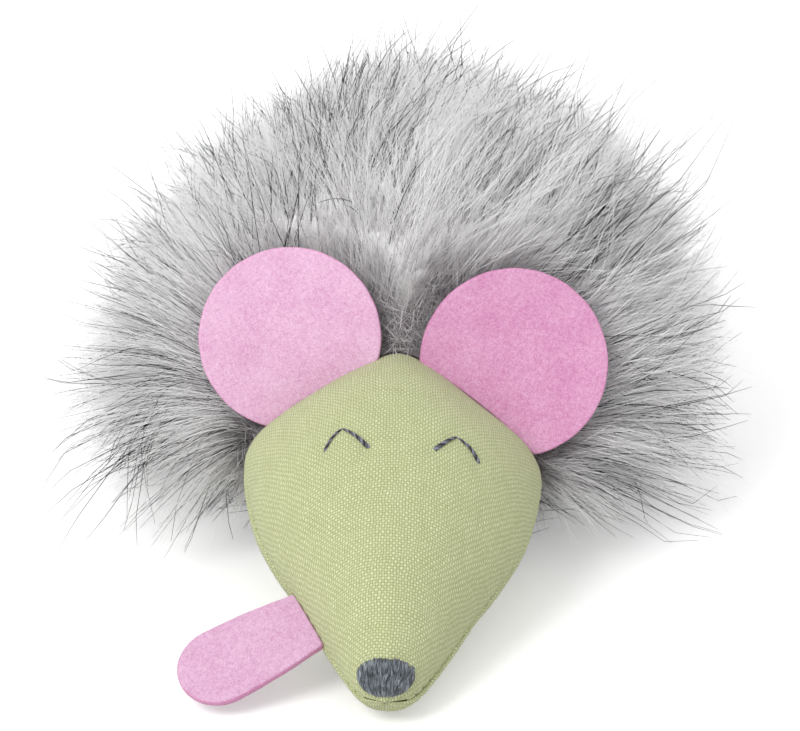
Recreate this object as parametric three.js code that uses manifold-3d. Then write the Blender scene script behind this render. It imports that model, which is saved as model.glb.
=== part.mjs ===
// Kicker cat toy: a stuffed mouse with a canvas head, felt ears and tongue, embroidered
// eyes and nose, and a long-pile faux-fur body. Millimetres, +Z up, the nose towards -Y.
// Left and right are the toy's own, so its left ear is on the +X side.
import * as THREE from "three";
import { mergeVertices } from "three/addons/utils/BufferGeometryUtils.js";
import Module from "manifold-3d";

const wasm = await Module();
wasm.setup();

// Head sizes
const headLength = 89; // from the crown to the nose tip
const headHalfWidth = 38.8;
const crownHeight = 58; // above the surface that the toy lies on
const canvasThickness = 1;

// Body sizes, measured on the outside of the knitted backing that carries the pile
const backingThickness = 1;
const bodyLength = 148;
const bodyHalfWidth = 42;
const backHeight = 71;
const bellyLift = 6; // the pressed pile under the belly
const pileLength = 47;

// Felt sizes
const feltThickness = 2;
const feltBevel = 0.4;
const leftEarRadius = 24.6;
const leftEarCentreRise = 12; // of the disc's centre above its sewn edge
const rightEarRadius = 23.7;
const rightEarCentreRise = 13.7;
const tongueLength = 33.5;
const tongueHalfWidth = 10.8;
const tongueRootHalfWidth = 8.8;

// Thread and stitching sizes
const seamThreadRadius = 0.3;
const closingThreadRadius = 0.35;
const eyeThreadRadius = 0.55;
const noseHalfWidth = 7.2;
const noseHalfLength = 5.2;
const noseThickness = 1.2;
const closingSeamLength = 56;

// Filling and catnip pouch sizes
const pouchHalfWidth = 24;
const pouchLength = 56;
const pouchHalfHeight = 5;
const pouchWall = 0.6;
const pouchDepth = 5; // how far the pouch sits behind the filling's front

// Clearances
const touchGap = 0.35; // between pieces that lie on each other
const seamGap = 1.3; // between two sewn edges, with the thread in it
const earSeatGap = 0.95; // from the seam to an ear, which clears the backing as it turns
const tongueSeatGap = -0.3; // the chin tucks in below the seam, and the tongue follows it
const overrun = 5; // how far a cut runs past what it cuts

// How the toy lies and how its flaps stand
const rollDegrees = 4; // over on its left cheek
const earLeanDegrees = 27; // back from upright
const earBackDegrees = -12; // how far an ear turns back into the pile
const earForwardDegrees = 70; // and forward over the head
// Each ear's sewn edge, in degrees round the neck from the crown
const earRoots = { left: [18, 88], right: [13, 79] };
const tongueFromShare = 0.536; // along the cheek seam, from the neck
const tongueToShare = 0.677;
const tongueDroopDegrees = 15;
const tongueForwardDegrees = 14;

// The head's stations from the neck to the nose tip, each a row of shares:
// the forward places of crown line, cheek seam and chin line, of headLength; the half
// width, of headHalfWidth; the heights of crown line, seam and chin line, of crownHeight.
const headShares = [
  [0.0, 0.115, 0.05, 0.935, 1.0, 0.613, 0.03],
  [0.13, 0.215, 0.17, 0.99, 1.02, 0.56, 0.012],
  [0.27, 0.335, 0.3, 0.955, 0.995, 0.49, 0.006],
  [0.415, 0.45, 0.43, 0.885, 0.93, 0.43, 0.006],
  [0.555, 0.565, 0.555, 0.755, 0.825, 0.365, 0.006],
  [0.69, 0.685, 0.67, 0.582, 0.69, 0.295, 0.008],
  [0.815, 0.8, 0.78, 0.435, 0.545, 0.23, 0.012],
  [0.925, 0.9, 0.87, 0.3, 0.4, 0.178, 0.022],
  [0.987, 0.966, 0.94, 0.18, 0.262, 0.142, 0.045],
  [1.0, 1.0, 1.0, 0.0, 0.115, 0.115, 0.115],
];
// How round each head station is above its seam: 2 is an ellipse, 1 a triangle
const headRoundness = [1.2, 1.6, 1.9, 2, 2, 2, 2, 2, 2, 2];
// and below it, where the chin tucks in
const headUnderRoundness = [2.2, 2, 1.8, 1.65, 1.55, 1.5, 1.5, 1.5, 1.6, 2];
const bodyUnderRoundness = 2.2;
const pileUnderRoundness = 3.4;

// The body's stations behind the neck: the place back, of bodyLength; the half width, of
// bodyHalfWidth; the height of the back, of backHeight; and the lift of the belly, of
// the height of the side seam.
const bodyShares = [
  [0.1, 0.965, 0.91, 0.17],
  [0.26, 1.0, 0.985, 0.176],
  [0.44, 1.0, 1.0, 0.176],
  [0.62, 0.96, 0.96, 0.185],
  [0.77, 0.86, 0.875, 0.22],
  [0.89, 0.66, 0.76, 0.35],
  [0.97, 0.38, 0.63, 0.6],
  [1.0, 0.0, 0.479, 1.0],
];
const bodyRoundness = [1.2, 1.7, 2, 2, 2, 2, 2, 2, 2];

// The outer shape of the pile at each body station, the neck included: how far it stands
// off the backing and how far it leans back, both of pileLength
const pileShares = [
  [0.008, 0.0],
  [0.86, 0.02],
  [1.0, 0.06],
  [0.93, 0.12],
  [0.82, 0.2],
  [0.7, 0.34],
  [0.56, 0.5],
  [0.38, 0.66],
  [0.0, 0.8],
];
const pileTopShare = 0.86; // the pile droops a little over the back
const pileShoulder = 0.3; // how much less round the pile is above than the backing
const pileSway = 0.12; // how far its locks lean to the left, of their rise
const pileStartShare = 1 / 8; // of the body, over which the pile comes to its full form

// The eyes' stitches as places on the head: degrees round from the crown line, then the
// share of the way from the neck to the nose
const eyeShares = {
  left: [
    [16, 0.35],
    [25, 0.294],
    [37, 0.33],
  ],
  right: [
    [-13, 0.358],
    [-24, 0.29],
    [-33, 0.338],
  ],
};
const noseCentreShare = 0.9; // of the way from the neck to the nose tip
const noseTurnDegrees = -4; // the patch is stitched a little to the right

const radians = THREE.MathUtils.degToRad;
const mix = THREE.MathUtils.lerp;
const quarterTurn = Math.PI / 2;

// Stations

// A table's row at a place between 0 and 1, on smooth curves through its rows
function rowAt(table, place) {
  const last = table.length - 1;
  const at = Math.min(place * last, last - 1e-9);
  const i = Math.floor(at);
  const t = at - i;
  const row = (k) => table[Math.min(Math.max(k, 0), last)];
  return row(i).map((_, c) => {
    const [a, b, d, e] = [row(i - 1)[c], row(i)[c], row(i + 1)[c], row(i + 2)[c]];
    return b + 0.5 * t * (d - a + t * (2 * a - 5 * b + 4 * d - e + t * (3 * (b - d) + e - a)));
  });
}

// A station's own sizes, whichever part of the toy it belongs to
function station(topY, seamY, underY, halfWidth, top, seam, under, roundness, underRoundness) {
  return { topY, seamY, underY, halfWidth, top, seam, under, roundness, underRoundness };
}

function headRow(shares, roundness, underRoundness) {
  const [forwardTop, forwardSeam, forwardUnder, wide, top, seam, under] = shares;
  return [
    -forwardTop * headLength,
    -forwardSeam * headLength,
    -forwardUnder * headLength,
    wide * headHalfWidth,
    top * crownHeight,
    seam * crownHeight,
    under * crownHeight,
    roundness,
    underRoundness,
  ];
}

const headRows = headShares.map((shares, i) =>
  headRow(shares, headRoundness[i], headUnderRoundness[i]),
);
const neckRow = headRows[0];
const sideSeamHeight = neckRow[5];

const bodyRows = [
  [...neckRow.slice(0, 3).map((y) => y + seamGap), ...neckRow.slice(3)],
  ...bodyShares.map(([back, wide, top, lift], i) => {
    const y = back * bodyLength + seamGap;
    const under = Math.max(lift * sideSeamHeight, Math.min(bellyLift, sideSeamHeight));
    const isTip = i === bodyShares.length - 1;
    return [
      y,
      y,
      y,
      wide * bodyHalfWidth,
      isTip ? sideSeamHeight : top * backHeight,
      sideSeamHeight,
      under,
      bodyRoundness[i + 1],
      bodyUnderRoundness,
    ];
  }),
];

const headAt = (place) => station(...rowAt(headRows, place));

// The body's station, moved forward towards the tip by the inset of what lies inside it
function bodyAt(place, inset = 0) {
  const [topY, seamY, underY, ...sizes] = rowAt(bodyRows, place);
  return station(...[topY, seamY, underY].map((y) => y - inset * place), ...sizes);
}

// The station of the pile's outer shape: the backing's, grown by the pile and leaning back
function pileAt(place) {
  const s = bodyAt(place);
  const formed = Math.min(place / pileStartShare, 1);
  const [off, lean] = rowAt(pileShares, place).map((share) => Math.max(share, 0) * pileLength);
  return {
    ...s,
    topY: s.topY + lean,
    seamY: s.seamY + lean,
    underY: s.underY + lean,
    halfWidth: Math.max(s.halfWidth, 0) + off,
    top: s.top + off * pileTopShare,
    under: s.under - off,
    roundness: s.roundness - pileShoulder * formed,
    underRoundness: mix(bodyUnderRoundness, pileUnderRoundness, formed),
    formed,
  };
}

// The toy lies rolled about a line along its side seams
const rolled = new THREE.Matrix4()
  .makeTranslation(0, 0, sideSeamHeight)
  .multiply(new THREE.Matrix4().makeRotationY(radians(rollDegrees)))
  .multiply(new THREE.Matrix4().makeTranslation(0, 0, -sideSeamHeight));

// A point of a station's outline. The turn is 0 at the crown line, a quarter turn at the
// left side seam and a half turn underneath. Grow moves the outline out, or in if it is
// below zero, and lift holds the upper or lower half that far off the seam.
function outlinePoint(s, turn, grow = 0, lift = 0) {
  const side = Math.abs(Math.sin(turn));
  const rise = Math.abs(Math.cos(turn));
  const above = Math.cos(turn) >= 0;
  const power = 2 / (above ? s.roundness : s.underRoundness);
  const reach = Math.max((above ? s.top - s.seam : s.seam - s.under) + grow - lift, 0);
  const z = s.seam + (above ? 1 : -1) * (lift + reach * rise ** power);
  return new THREE.Vector3(
    Math.sign(Math.sin(turn)) * Math.max(s.halfWidth + grow, 0) * side ** power,
    mix(above ? s.topY : s.underY, s.seamY, side ** power),
    z,
  ).applyMatrix4(rolled);
}

// A point of the pile's outer shape. Its weight brings it level again on the rolled body,
// and its locks lean over as they rise.
function pilePoint(s, turn) {
  const point = outlinePoint(s, turn);
  const rise = Math.max(point.z - sideSeamHeight, 0);
  point.z += s.formed * point.x * Math.sin(radians(rollDegrees));
  point.x += s.formed * rise * pileSway;
  return point;
}

// A point on the outside of the head, and the direction that faces out of it there
const headPoint = (turn, place, grow = 0) => outlinePoint(headAt(place), turn, grow);

function headNormal(turn, place) {
  const step = 1e-3;
  const across = headPoint(turn + step, place).sub(headPoint(turn - step, place));
  const along = headPoint(turn, Math.min(place + step, 1)).sub(headPoint(turn, place - step));
  return along.cross(across).normalize();
}

// Solids from grids of points

// Collects triangles, and leaves out those that a point or a line has shrunk to nothing
function meshFrom(points, triangles) {
  const kept = triangles.filter((t) => {
    const [a, b, c] = t.map((i) => points[i]);
    return a.distanceTo(b) > 1e-4 && b.distanceTo(c) > 1e-4 && c.distanceTo(a) > 1e-4;
  });
  const geometry = new THREE.BufferGeometry();
  const flat = kept.flat().flatMap((i) => points[i].toArray());
  geometry.setAttribute("position", new THREE.Float32BufferAttribute(flat, 3));
  return mergeVertices(geometry, 1e-4);
}

// A solid through closed rings of points, front to back, closed at each end by a fan
function loft(rings) {
  const count = rings[0].length;
  const points = rings.flat();
  const triangles = [];
  for (let r = 0; r + 1 < rings.length; r++) {
    for (let k = 0; k < count; k++) {
      const a = r * count + k;
      const b = r * count + ((k + 1) % count);
      triangles.push([a, b, b + count], [a, b + count, a + count]);
    }
  }
  [0, rings.length - 1].forEach((r, end) => {
    const middle = points.length;
    const centre = rings[r].reduce((sum, p) => sum.add(p), new THREE.Vector3());
    points.push(centre.divideScalar(count));
    for (let k = 0; k < count; k++) {
      const a = r * count + k;
      const b = r * count + ((k + 1) % count);
      triangles.push(end ? [a, b, middle] : [b, a, middle]);
    }
  });
  return meshFrom(points, triangles);
}

// A sheet between an outer and an inner grid of points of the same size. A grid that
// runs all the way round meets itself, and has no edge along its sides.
function sheet(outer, inner, allRound = false) {
  const rows = outer.length;
  const columns = outer[0].length;
  const points = [...outer.flat(), ...inner.flat()];
  const under = rows * columns;
  const triangles = [];
  const quad = (a, b, c, d) => triangles.push([a, b, c], [a, c, d]);
  for (let i = 0; i + 1 < rows; i++) {
    for (let j = 0; j + 1 < columns; j++) {
      const a = i * columns + j;
      quad(a, a + 1, a + columns + 1, a + columns);
      quad(under + a, under + a + columns, under + a + columns + 1, under + a + 1);
    }
  }
  const wall = (a, b) => quad(a, under + a, under + b, b);
  for (let j = 0; j + 1 < columns; j++) {
    wall(j, j + 1);
    wall((rows - 1) * columns + j + 1, (rows - 1) * columns + j);
  }
  for (let i = 0; i + 1 < rows && !allRound; i++) {
    wall((i + 1) * columns, i * columns);
    wall((i + 1) * columns - 1, (i + 2) * columns - 1);
  }
  return meshFrom(points, triangles);
}

const steps = (count, from = 0, to = 1) =>
  Array.from({ length: count + 1 }, (_, i) => mix(from, to, i / count));

const ringOf = (s, count, grow = 0, pointAt = outlinePoint) =>
  steps(count, 0, 2 * Math.PI)
    .slice(0, count)
    .map((turn) => pointAt(s, turn, grow));

// Joining and cutting
function solidOf(geometry) {
  const bare = new THREE.BufferGeometry();
  const source = geometry.index ? geometry.toNonIndexed() : geometry;
  bare.setAttribute("position", source.getAttribute("position").clone());
  const merged = mergeVertices(bare, 1e-4);
  const solid = new wasm.Manifold(
    new wasm.Mesh({
      numProp: 3,
      vertProperties: new Float32Array(merged.attributes.position.array),
      triVerts: new Uint32Array(merged.index.array),
    }),
  );
  if (solid.volume() < 0) throw new Error("a solid is inside out");
  return solid;
}

function geometryOf(solid) {
  const mesh = solid.getMesh();
  const geometry = new THREE.BufferGeometry();
  const places = new Float32Array(mesh.numVert * 3);
  for (let i = 0; i < mesh.numVert; i++) {
    for (let k = 0; k < 3; k++) places[3 * i + k] = mesh.vertProperties[i * mesh.numProp + k];
  }
  geometry.setAttribute("position", new THREE.BufferAttribute(places, 3));
  geometry.setIndex(new THREE.BufferAttribute(mesh.triVerts.slice(), 1));
  return geometry;
}

// A box that lies rolled with the toy
function boxBetween(low, high) {
  const size = high.clone().sub(low);
  const centre = low.clone().add(high).multiplyScalar(0.5);
  return new THREE.BoxGeometry(size.x, size.y, size.z)
    .translate(centre.x, centre.y, centre.z)
    .applyMatrix4(rolled);
}

// A round thread along a list of points
function thread(points, radius, count, sides = 5) {
  const path = new THREE.CatmullRomCurve3(points, false, "centripetal");
  const section = new THREE.Shape(
    steps(sides, 0, 2 * Math.PI)
      .slice(0, sides)
      .map((a) => new THREE.Vector2(radius * Math.cos(a), radius * Math.sin(a))),
  );
  return new THREE.ExtrudeGeometry(section, { extrudePath: path, steps: count });
}

// Materials
const material = (name, color, roughness) =>
  Object.assign(new THREE.MeshStandardMaterial({ color, roughness, metalness: 0 }), { name });

const canvas = material("green_canvas", 0xc8cd9b, 0.9);
const felt = material("pink_felt", 0xebb4d5, 0.95);
const fur = material("grey_fur", 0xb9b7b8, 0.8);
const stitching = material("slate_thread", 0x62686b, 0.6);
const seamThread = material("green_thread", 0xa9ad7c, 0.7);
const fibre = material("fibre_filling", 0xf2f0ea, 0.95);
const cotton = material("pouch_cotton", 0xe4ddc9, 0.9);
const herb = material("dried_catnip", 0x6f7448, 1);

const toy = new THREE.Group();

function add(name, geometry, look, holder = toy) {
  const mesh = new THREE.Mesh(geometry, look);
  mesh.name = name;
  holder.add(mesh);
  return mesh;
}

// Head: two canvas panels sewn along the cheeks and round the nose, over the filling
const panelAcross = 18;
const panelAlong = 18;
const innerEndShare = 0.955; // the inner face ends here, so the nose tip is solid canvas
const fillingEndShare = 0.94;

function headPanel(fromTurn, toTurn) {
  const grid = (endShare, grow) =>
    steps(panelAlong).map((place) =>
      steps(panelAcross, fromTurn, toTurn).map((turn) =>
        outlinePoint(headAt(place * endShare), turn, grow, seamGap / 2),
      ),
    );
  return sheet(grid(1, 0), grid(innerEndShare, -canvasThickness));
}

// The half turn is a hair short, so that no end point counts as the other half
const hair = 1e-6;
add("head_top_panel", headPanel(quarterTurn - hair, hair - quarterTurn), canvas);
add("head_chin_panel", headPanel(3 * quarterTurn - hair, quarterTurn + hair), canvas);

const fillingRings = steps(12, fillingEndShare, 0).map((place) =>
  ringOf(headAt(place), 24, -canvasThickness - touchGap),
);
add("head_filling", loft(fillingRings), fibre);

const cheekPath = (side, places) =>
  places.map((place) => headPoint(side * quarterTurn, place, -canvasThickness / 2));
const cheekPlaces = steps(18, 0.01, 0.985);
add(
  "cheek_seam_thread",
  thread(
    [...cheekPath(1, cheekPlaces), ...cheekPath(-1, [...cheekPlaces].reverse())],
    seamThreadRadius,
    48,
  ),
  seamThread,
);

// Embroidery on the head: a stitched chevron for each closed eye, and a satin-stitch nose
function eyeStitch(marks) {
  const places = marks.map(([degrees, share]) => {
    const turn = radians(degrees);
    const off = eyeThreadRadius + touchGap;
    return headPoint(turn, share).addScaledVector(headNormal(turn, share), off);
  });
  const [inner, peak, outer] = places;
  const towards = (from, to, share) => from.clone().lerp(to, share);
  const points = [
    inner,
    towards(inner, peak, 0.5),
    towards(inner, peak, 0.88),
    peak.clone().lerp(towards(inner, outer, 0.5), 0.08),
    towards(peak, outer, 0.12),
    towards(peak, outer, 0.5),
    outer,
  ];
  return thread(points, eyeThreadRadius, 18);
}

add("left_eye_embroidery", eyeStitch(eyeShares.left), stitching);
add("right_eye_embroidery", eyeStitch(eyeShares.right), stitching);

// The nose follows the head: places a half width or half length from its centre are
// stepped off along the surface
function nosePatch() {
  const rings = 4;
  const spokes = 20;
  const middle = radians(noseTurnDegrees);
  const centre = headPoint(middle, noseCentreShare);
  const acrossStep = 0.05;
  const alongStep = 0.01;
  const across = headPoint(middle + acrossStep, noseCentreShare).distanceTo(centre) / acrossStep;
  const along = headPoint(middle, noseCentreShare + alongStep).distanceTo(centre) / alongStep;
  const point = (ring, spoke, off) => {
    const angle = (2 * Math.PI * spoke) / spokes;
    const turn = middle + (ring / rings) * Math.cos(angle) * (noseHalfWidth / across);
    const place = noseCentreShare + (ring / rings) * Math.sin(angle) * (noseHalfLength / along);
    return headPoint(turn, place).addScaledVector(headNormal(turn, place), off);
  };
  const dome = (ring) => touchGap + noseThickness * Math.sqrt(1 - 0.75 * (ring / rings) ** 2);
  const turns = steps(spokes).map((share) => share * spokes);
  const upper = steps(rings, 0, rings).map((r) => turns.map((k) => point(r, k, dome(r))));
  const lower = steps(rings, 0, rings).map((r) => turns.map((k) => point(r, k, touchGap)));
  return sheet(upper, lower, true);
}
add("nose_embroidery", nosePatch(), stitching);

const neckStation = headAt(0);
const neckShift = new THREE.Vector3(0, seamGap / 2, 0);

// Felt flaps. Each is drawn with its sewn edge along its own X axis, and turns about it.
function feltPlate(outline) {
  const plate = new THREE.ExtrudeGeometry(outline, {
    depth: feltThickness - 2 * feltBevel,
    bevelThickness: feltBevel,
    bevelSize: feltBevel,
    bevelOffset: -feltBevel,
    bevelSegments: 1,
    curveSegments: 32,
  });
  return plate.translate(0, 0, feltBevel - feltThickness / 2);
}

function flapPlace(root, along, out) {
  const faceOut = along.clone().cross(out).normalize();
  return new THREE.Matrix4().makeBasis(along, out, faceOut).setPosition(root);
}

// The room that a flap needs as it turns about its sewn edge
function turningRoom(outline, place, fromDegrees, toDegrees) {
  const half = feltThickness / 2 + touchGap;
  const points = steps(9, fromDegrees, toDegrees).flatMap((degrees) => {
    const turned = new THREE.Matrix4().makeRotationX(radians(degrees)).premultiply(place);
    return outline
      .getPoints(30)
      .flatMap((p) =>
        [-half, half].map((z) => new THREE.Vector3(p.x, p.y, z).applyMatrix4(turned).toArray()),
      );
  });
  return wasm.Manifold.hull(points);
}

// Ears: discs cut straight across at the sewn edge, standing in the notch behind the
// neck seam and leaning back
function earOutline(side, grow = 0) {
  const isLeft = side === "left";
  const radius = (isLeft ? leftEarRadius : rightEarRadius) + grow;
  const rise = isLeft ? leftEarCentreRise : rightEarCentreRise;
  const fromAngle = -Math.asin((rise + grow) / radius);
  const outline = new THREE.Shape();
  outline.absarc(0, rise, radius, fromAngle, Math.PI - fromAngle, false);
  outline.closePath();
  return outline;
}

function earPlace(side) {
  const sign = side === "left" ? 1 : -1;
  const [fromDegrees, toDegrees] = earRoots[side];
  const edge = (degrees) => outlinePoint(neckStation, sign * radians(degrees)).add(neckShift);
  const from = edge(fromDegrees);
  const to = edge(toDegrees);
  const along = to.clone().sub(from).normalize();
  const lean = radians(earLeanDegrees);
  const facing = new THREE.Vector3(0, -Math.cos(lean), Math.sin(lean));
  facing.addScaledVector(along, -facing.dot(along)).normalize();
  const out = facing.clone().cross(along).multiplyScalar(sign);
  const heights = steps(12, fromDegrees, toDegrees).map((degrees) =>
    edge(degrees).sub(from).dot(out),
  );
  const rise = Math.max(...heights) + feltThickness / 2 + earSeatGap;
  const root = from.lerp(to, 0.5).addScaledVector(out, rise);
  return flapPlace(root, along.multiplyScalar(sign), out);
}

const earPlaces = { left: earPlace("left"), right: earPlace("right") };
Object.entries(earPlaces).forEach(([side, place]) => {
  add(`${side}_ear`, feltPlate(earOutline(side)), felt).applyMatrix4(place);
});

// Tongue: a rounded felt strip sewn into the right cheek seam, drooping a little
function tongueOutline() {
  const outline = new THREE.Shape();
  const tipStart = tongueLength - tongueHalfWidth;
  outline.moveTo(-tongueRootHalfWidth, 0);
  outline.lineTo(tongueRootHalfWidth, 0);
  outline.quadraticCurveTo(tongueHalfWidth, tipStart / 2, tongueHalfWidth, tipStart);
  outline.absarc(0, tipStart, tongueHalfWidth, 0, Math.PI, false);
  outline.quadraticCurveTo(-tongueHalfWidth, tipStart / 2, -tongueRootHalfWidth, 0);
  return outline;
}

function tonguePlace() {
  const seam = (share) => headPoint(-quarterTurn, share);
  const from = seam(tongueFromShare);
  const to = seam(tongueToShare);
  const along = to.clone().sub(from).normalize();
  const droop = radians(tongueDroopDegrees);
  const ahead = radians(tongueForwardDegrees);
  const out = new THREE.Vector3(
    -Math.cos(ahead) * Math.cos(droop),
    -Math.sin(ahead) * Math.cos(droop),
    -Math.sin(droop),
  );
  out.addScaledVector(along, -out.dot(along)).normalize();
  const heights = steps(10, tongueFromShare, tongueToShare).map((share) =>
    seam(share).sub(from).dot(out),
  );
  const rise = Math.max(...heights) + feltThickness / 2 + tongueSeatGap;
  const root = from.lerp(to, 0.5).addScaledVector(out, rise);
  return flapPlace(root, along.negate(), out);
}

const tongueAt = tonguePlace();
add("tongue", feltPlate(tongueOutline()), felt).applyMatrix4(tongueAt);

// Body: the faux-fur back and belly panels, each with its pile as one soft solid
const ringCount = 36;
const pileRings = steps(18).map((place) => ringOf(pileAt(place), ringCount, 0, pilePoint));
const pileSolid = solidOf(loft(pileRings)).trimByPlane([0, 0, 1], 0);

function bodyLoft(inset, ahead = 0) {
  const rings = steps(14).map((place) => ringOf(bodyAt(place, inset), ringCount, -inset));
  if (ahead) rings.unshift(rings[0].map((p) => p.clone().setY(p.y - ahead)));
  return solidOf(loft(rings));
}

const cavity = bodyLoft(backingThickness, overrun);
const wideEnough = bodyHalfWidth + pileLength + overrun;
const longEnough = bodyLength + pileLength + overrun;
const tallEnough = backHeight + pileLength + overrun;

const belowSeam = boxBetween(
  new THREE.Vector3(-wideEnough, -headLength, -overrun),
  new THREE.Vector3(wideEnough, longEnough, sideSeamHeight + seamGap / 2),
);
const aboveSeam = boxBetween(
  new THREE.Vector3(-wideEnough, -headLength, sideSeamHeight - seamGap / 2),
  new THREE.Vector3(wideEnough, longEnough, tallEnough),
);
// The pile behind the ears is pressed back as far as the ears can turn, but not the
// backing, and a tuft that this cuts loose is dropped
const pressedPile = Object.entries(earPlaces).reduce((solid, [side, place]) => {
  const grown = earOutline(side, touchGap);
  return solid.subtract(turningRoom(grown, place, earBackDegrees, earForwardDegrees));
}, pileSolid);
const fabric = pressedPile.add(bodyLoft(0)).subtract(cavity);
const largest = (solid) =>
  solid.decompose().reduce((best, piece) => (piece.volume() > best.volume() ? piece : best));
add("fur_back_panel", geometryOf(largest(fabric.subtract(solidOf(belowSeam)))), fur);

// The belly's closing seam runs in a slot that its stitches pull into the pile
const closingMiddle = bodyLength / 2;
const slotHalfWidth = closingThreadRadius + touchGap;
const closingSlot = boxBetween(
  new THREE.Vector3(-slotHalfWidth, closingMiddle - closingSeamLength / 2 - touchGap, -overrun),
  new THREE.Vector3(
    slotHalfWidth,
    closingMiddle + closingSeamLength / 2 + touchGap,
    bellyLift + overrun,
  ),
);
const belly = fabric.subtract(solidOf(aboveSeam)).subtract(solidOf(closingSlot));
add("fur_belly_panel", geometryOf(belly), fur);

const closingPath = steps(6, -0.5, 0.5).map(
  (share) =>
    new THREE.Vector3(
      0,
      closingMiddle + share * closingSeamLength,
      bellyLift + backingThickness / 2,
    ).applyMatrix4(rolled),
);
add("closing_seam_thread", thread(closingPath, closingThreadRadius, 12), seamThread);

const sidePath = (side, places) =>
  places.map((place) =>
    outlinePoint(
      bodyAt(place, backingThickness / 2),
      side * quarterTurn,
      -backingThickness / 2,
    ),
  );
const sidePlaces = steps(14, 0.01, 0.99);
add(
  "body_seam_thread",
  thread(
    [...sidePath(1, sidePlaces), ...sidePath(-1, [...sidePlaces].reverse())],
    seamThreadRadius,
    44,
  ),
  seamThread,
);

// The neck seam's thread lies in the gap between the canvas and the fur, all the way round
const neckPath = steps(48, Math.PI + 0.06, 3 * Math.PI - 0.06).map((turn) =>
  outlinePoint(neckStation, turn, -canvasThickness / 2).add(neckShift),
);
add("neck_seam_thread", thread(neckPath, seamThreadRadius, 60), seamThread);

// Catnip pouch: a sewn sleeve with the herb in it, in a pocket of the filling
const pouchFront = neckRow[0] + seamGap + pouchDepth;
const pouchMiddleHeight = sideSeamHeight;

function pillow(grow, from, to) {
  const rings = steps(10).map((share) => {
    const puff = Math.sqrt(Math.max(1 - (2 * share - 1) ** 2, 0));
    const y = mix(from, to, share);
    const half = pouchHalfHeight * (0.35 + 0.65 * puff) + grow;
    const wide = pouchHalfWidth * (0.94 + 0.06 * puff) + grow;
    return steps(20, 0, 2 * Math.PI)
      .slice(0, 20)
      .map((turn) => {
        const across = Math.sign(Math.sin(turn)) * Math.abs(Math.sin(turn)) ** 0.7;
        const up = Math.sign(Math.cos(turn)) * Math.abs(Math.cos(turn)) ** 0.9;
        return new THREE.Vector3(wide * across, y, pouchMiddleHeight + half * up).applyMatrix4(
          rolled,
        );
      });
  });
  return solidOf(loft(rings));
}

const pouchBack = pouchFront + pouchLength;
const pouchOuter = pillow(0, pouchFront, pouchBack);
const pouchMouth = boxBetween(
  new THREE.Vector3(
    -pouchHalfWidth * 0.8,
    pouchFront - overrun,
    pouchMiddleHeight - pouchHalfHeight * 0.1,
  ),
  new THREE.Vector3(
    pouchHalfWidth * 0.8,
    pouchFront + overrun,
    pouchMiddleHeight + pouchHalfHeight * 0.1,
  ),
);
const pouchInner = pillow(-pouchWall, pouchFront + pouchWall, pouchBack - pouchWall);
add(
  "catnip_pouch",
  geometryOf(pouchOuter.subtract(pouchInner).subtract(solidOf(pouchMouth))),
  cotton,
);
const herbInset = pouchWall + touchGap;
const herbSolid = pillow(-herbInset, pouchFront + herbInset, pouchBack - herbInset);
add("catnip_herb", geometryOf(herbSolid), herb);

const pocketInner = pillow(touchGap, pouchFront - touchGap, pouchBack + touchGap);
const pocketMouth = boxBetween(
  new THREE.Vector3(
    -pouchHalfWidth * 0.8,
    neckRow[1] - overrun,
    pouchMiddleHeight - pouchHalfHeight * 0.35,
  ),
  new THREE.Vector3(
    pouchHalfWidth * 0.8,
    pouchFront + overrun,
    pouchMiddleHeight + pouchHalfHeight * 0.35,
  ),
);
const bodyFilling = bodyLoft(backingThickness + touchGap)
  .subtract(pocketInner)
  .subtract(solidOf(pocketMouth));
add("body_filling", geometryOf(bodyFilling), fibre);

// The origin is on the surface that the toy lies on, under the middle of its outer box
const middle = new THREE.Box3().setFromObject(toy).getCenter(new THREE.Vector3());
toy.position.set(-middle.x, -middle.y, 0);

export default toy;
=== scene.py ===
# %% [markdown]
# # A stuffed kicker toy for a cat, dressed in Blender
# The toy is a stuffed mouse: a canvas head, felt ears and tongue, stitched eyes and nose,
# and a body of long faux fur. Its frame, a set of plain solids with hinges at the ears and
# the tongue, is already made and fixed. This lesson builds what the eye sees on that frame:
# woven cloth, felt with a cut edge, twisted thread and tens of thousands of hairs.
#
# We load the frame first, because every piece is placed by it and rides on it.

import math

import bmesh
import bpy
import numpy as np
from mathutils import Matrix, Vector, noise


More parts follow.
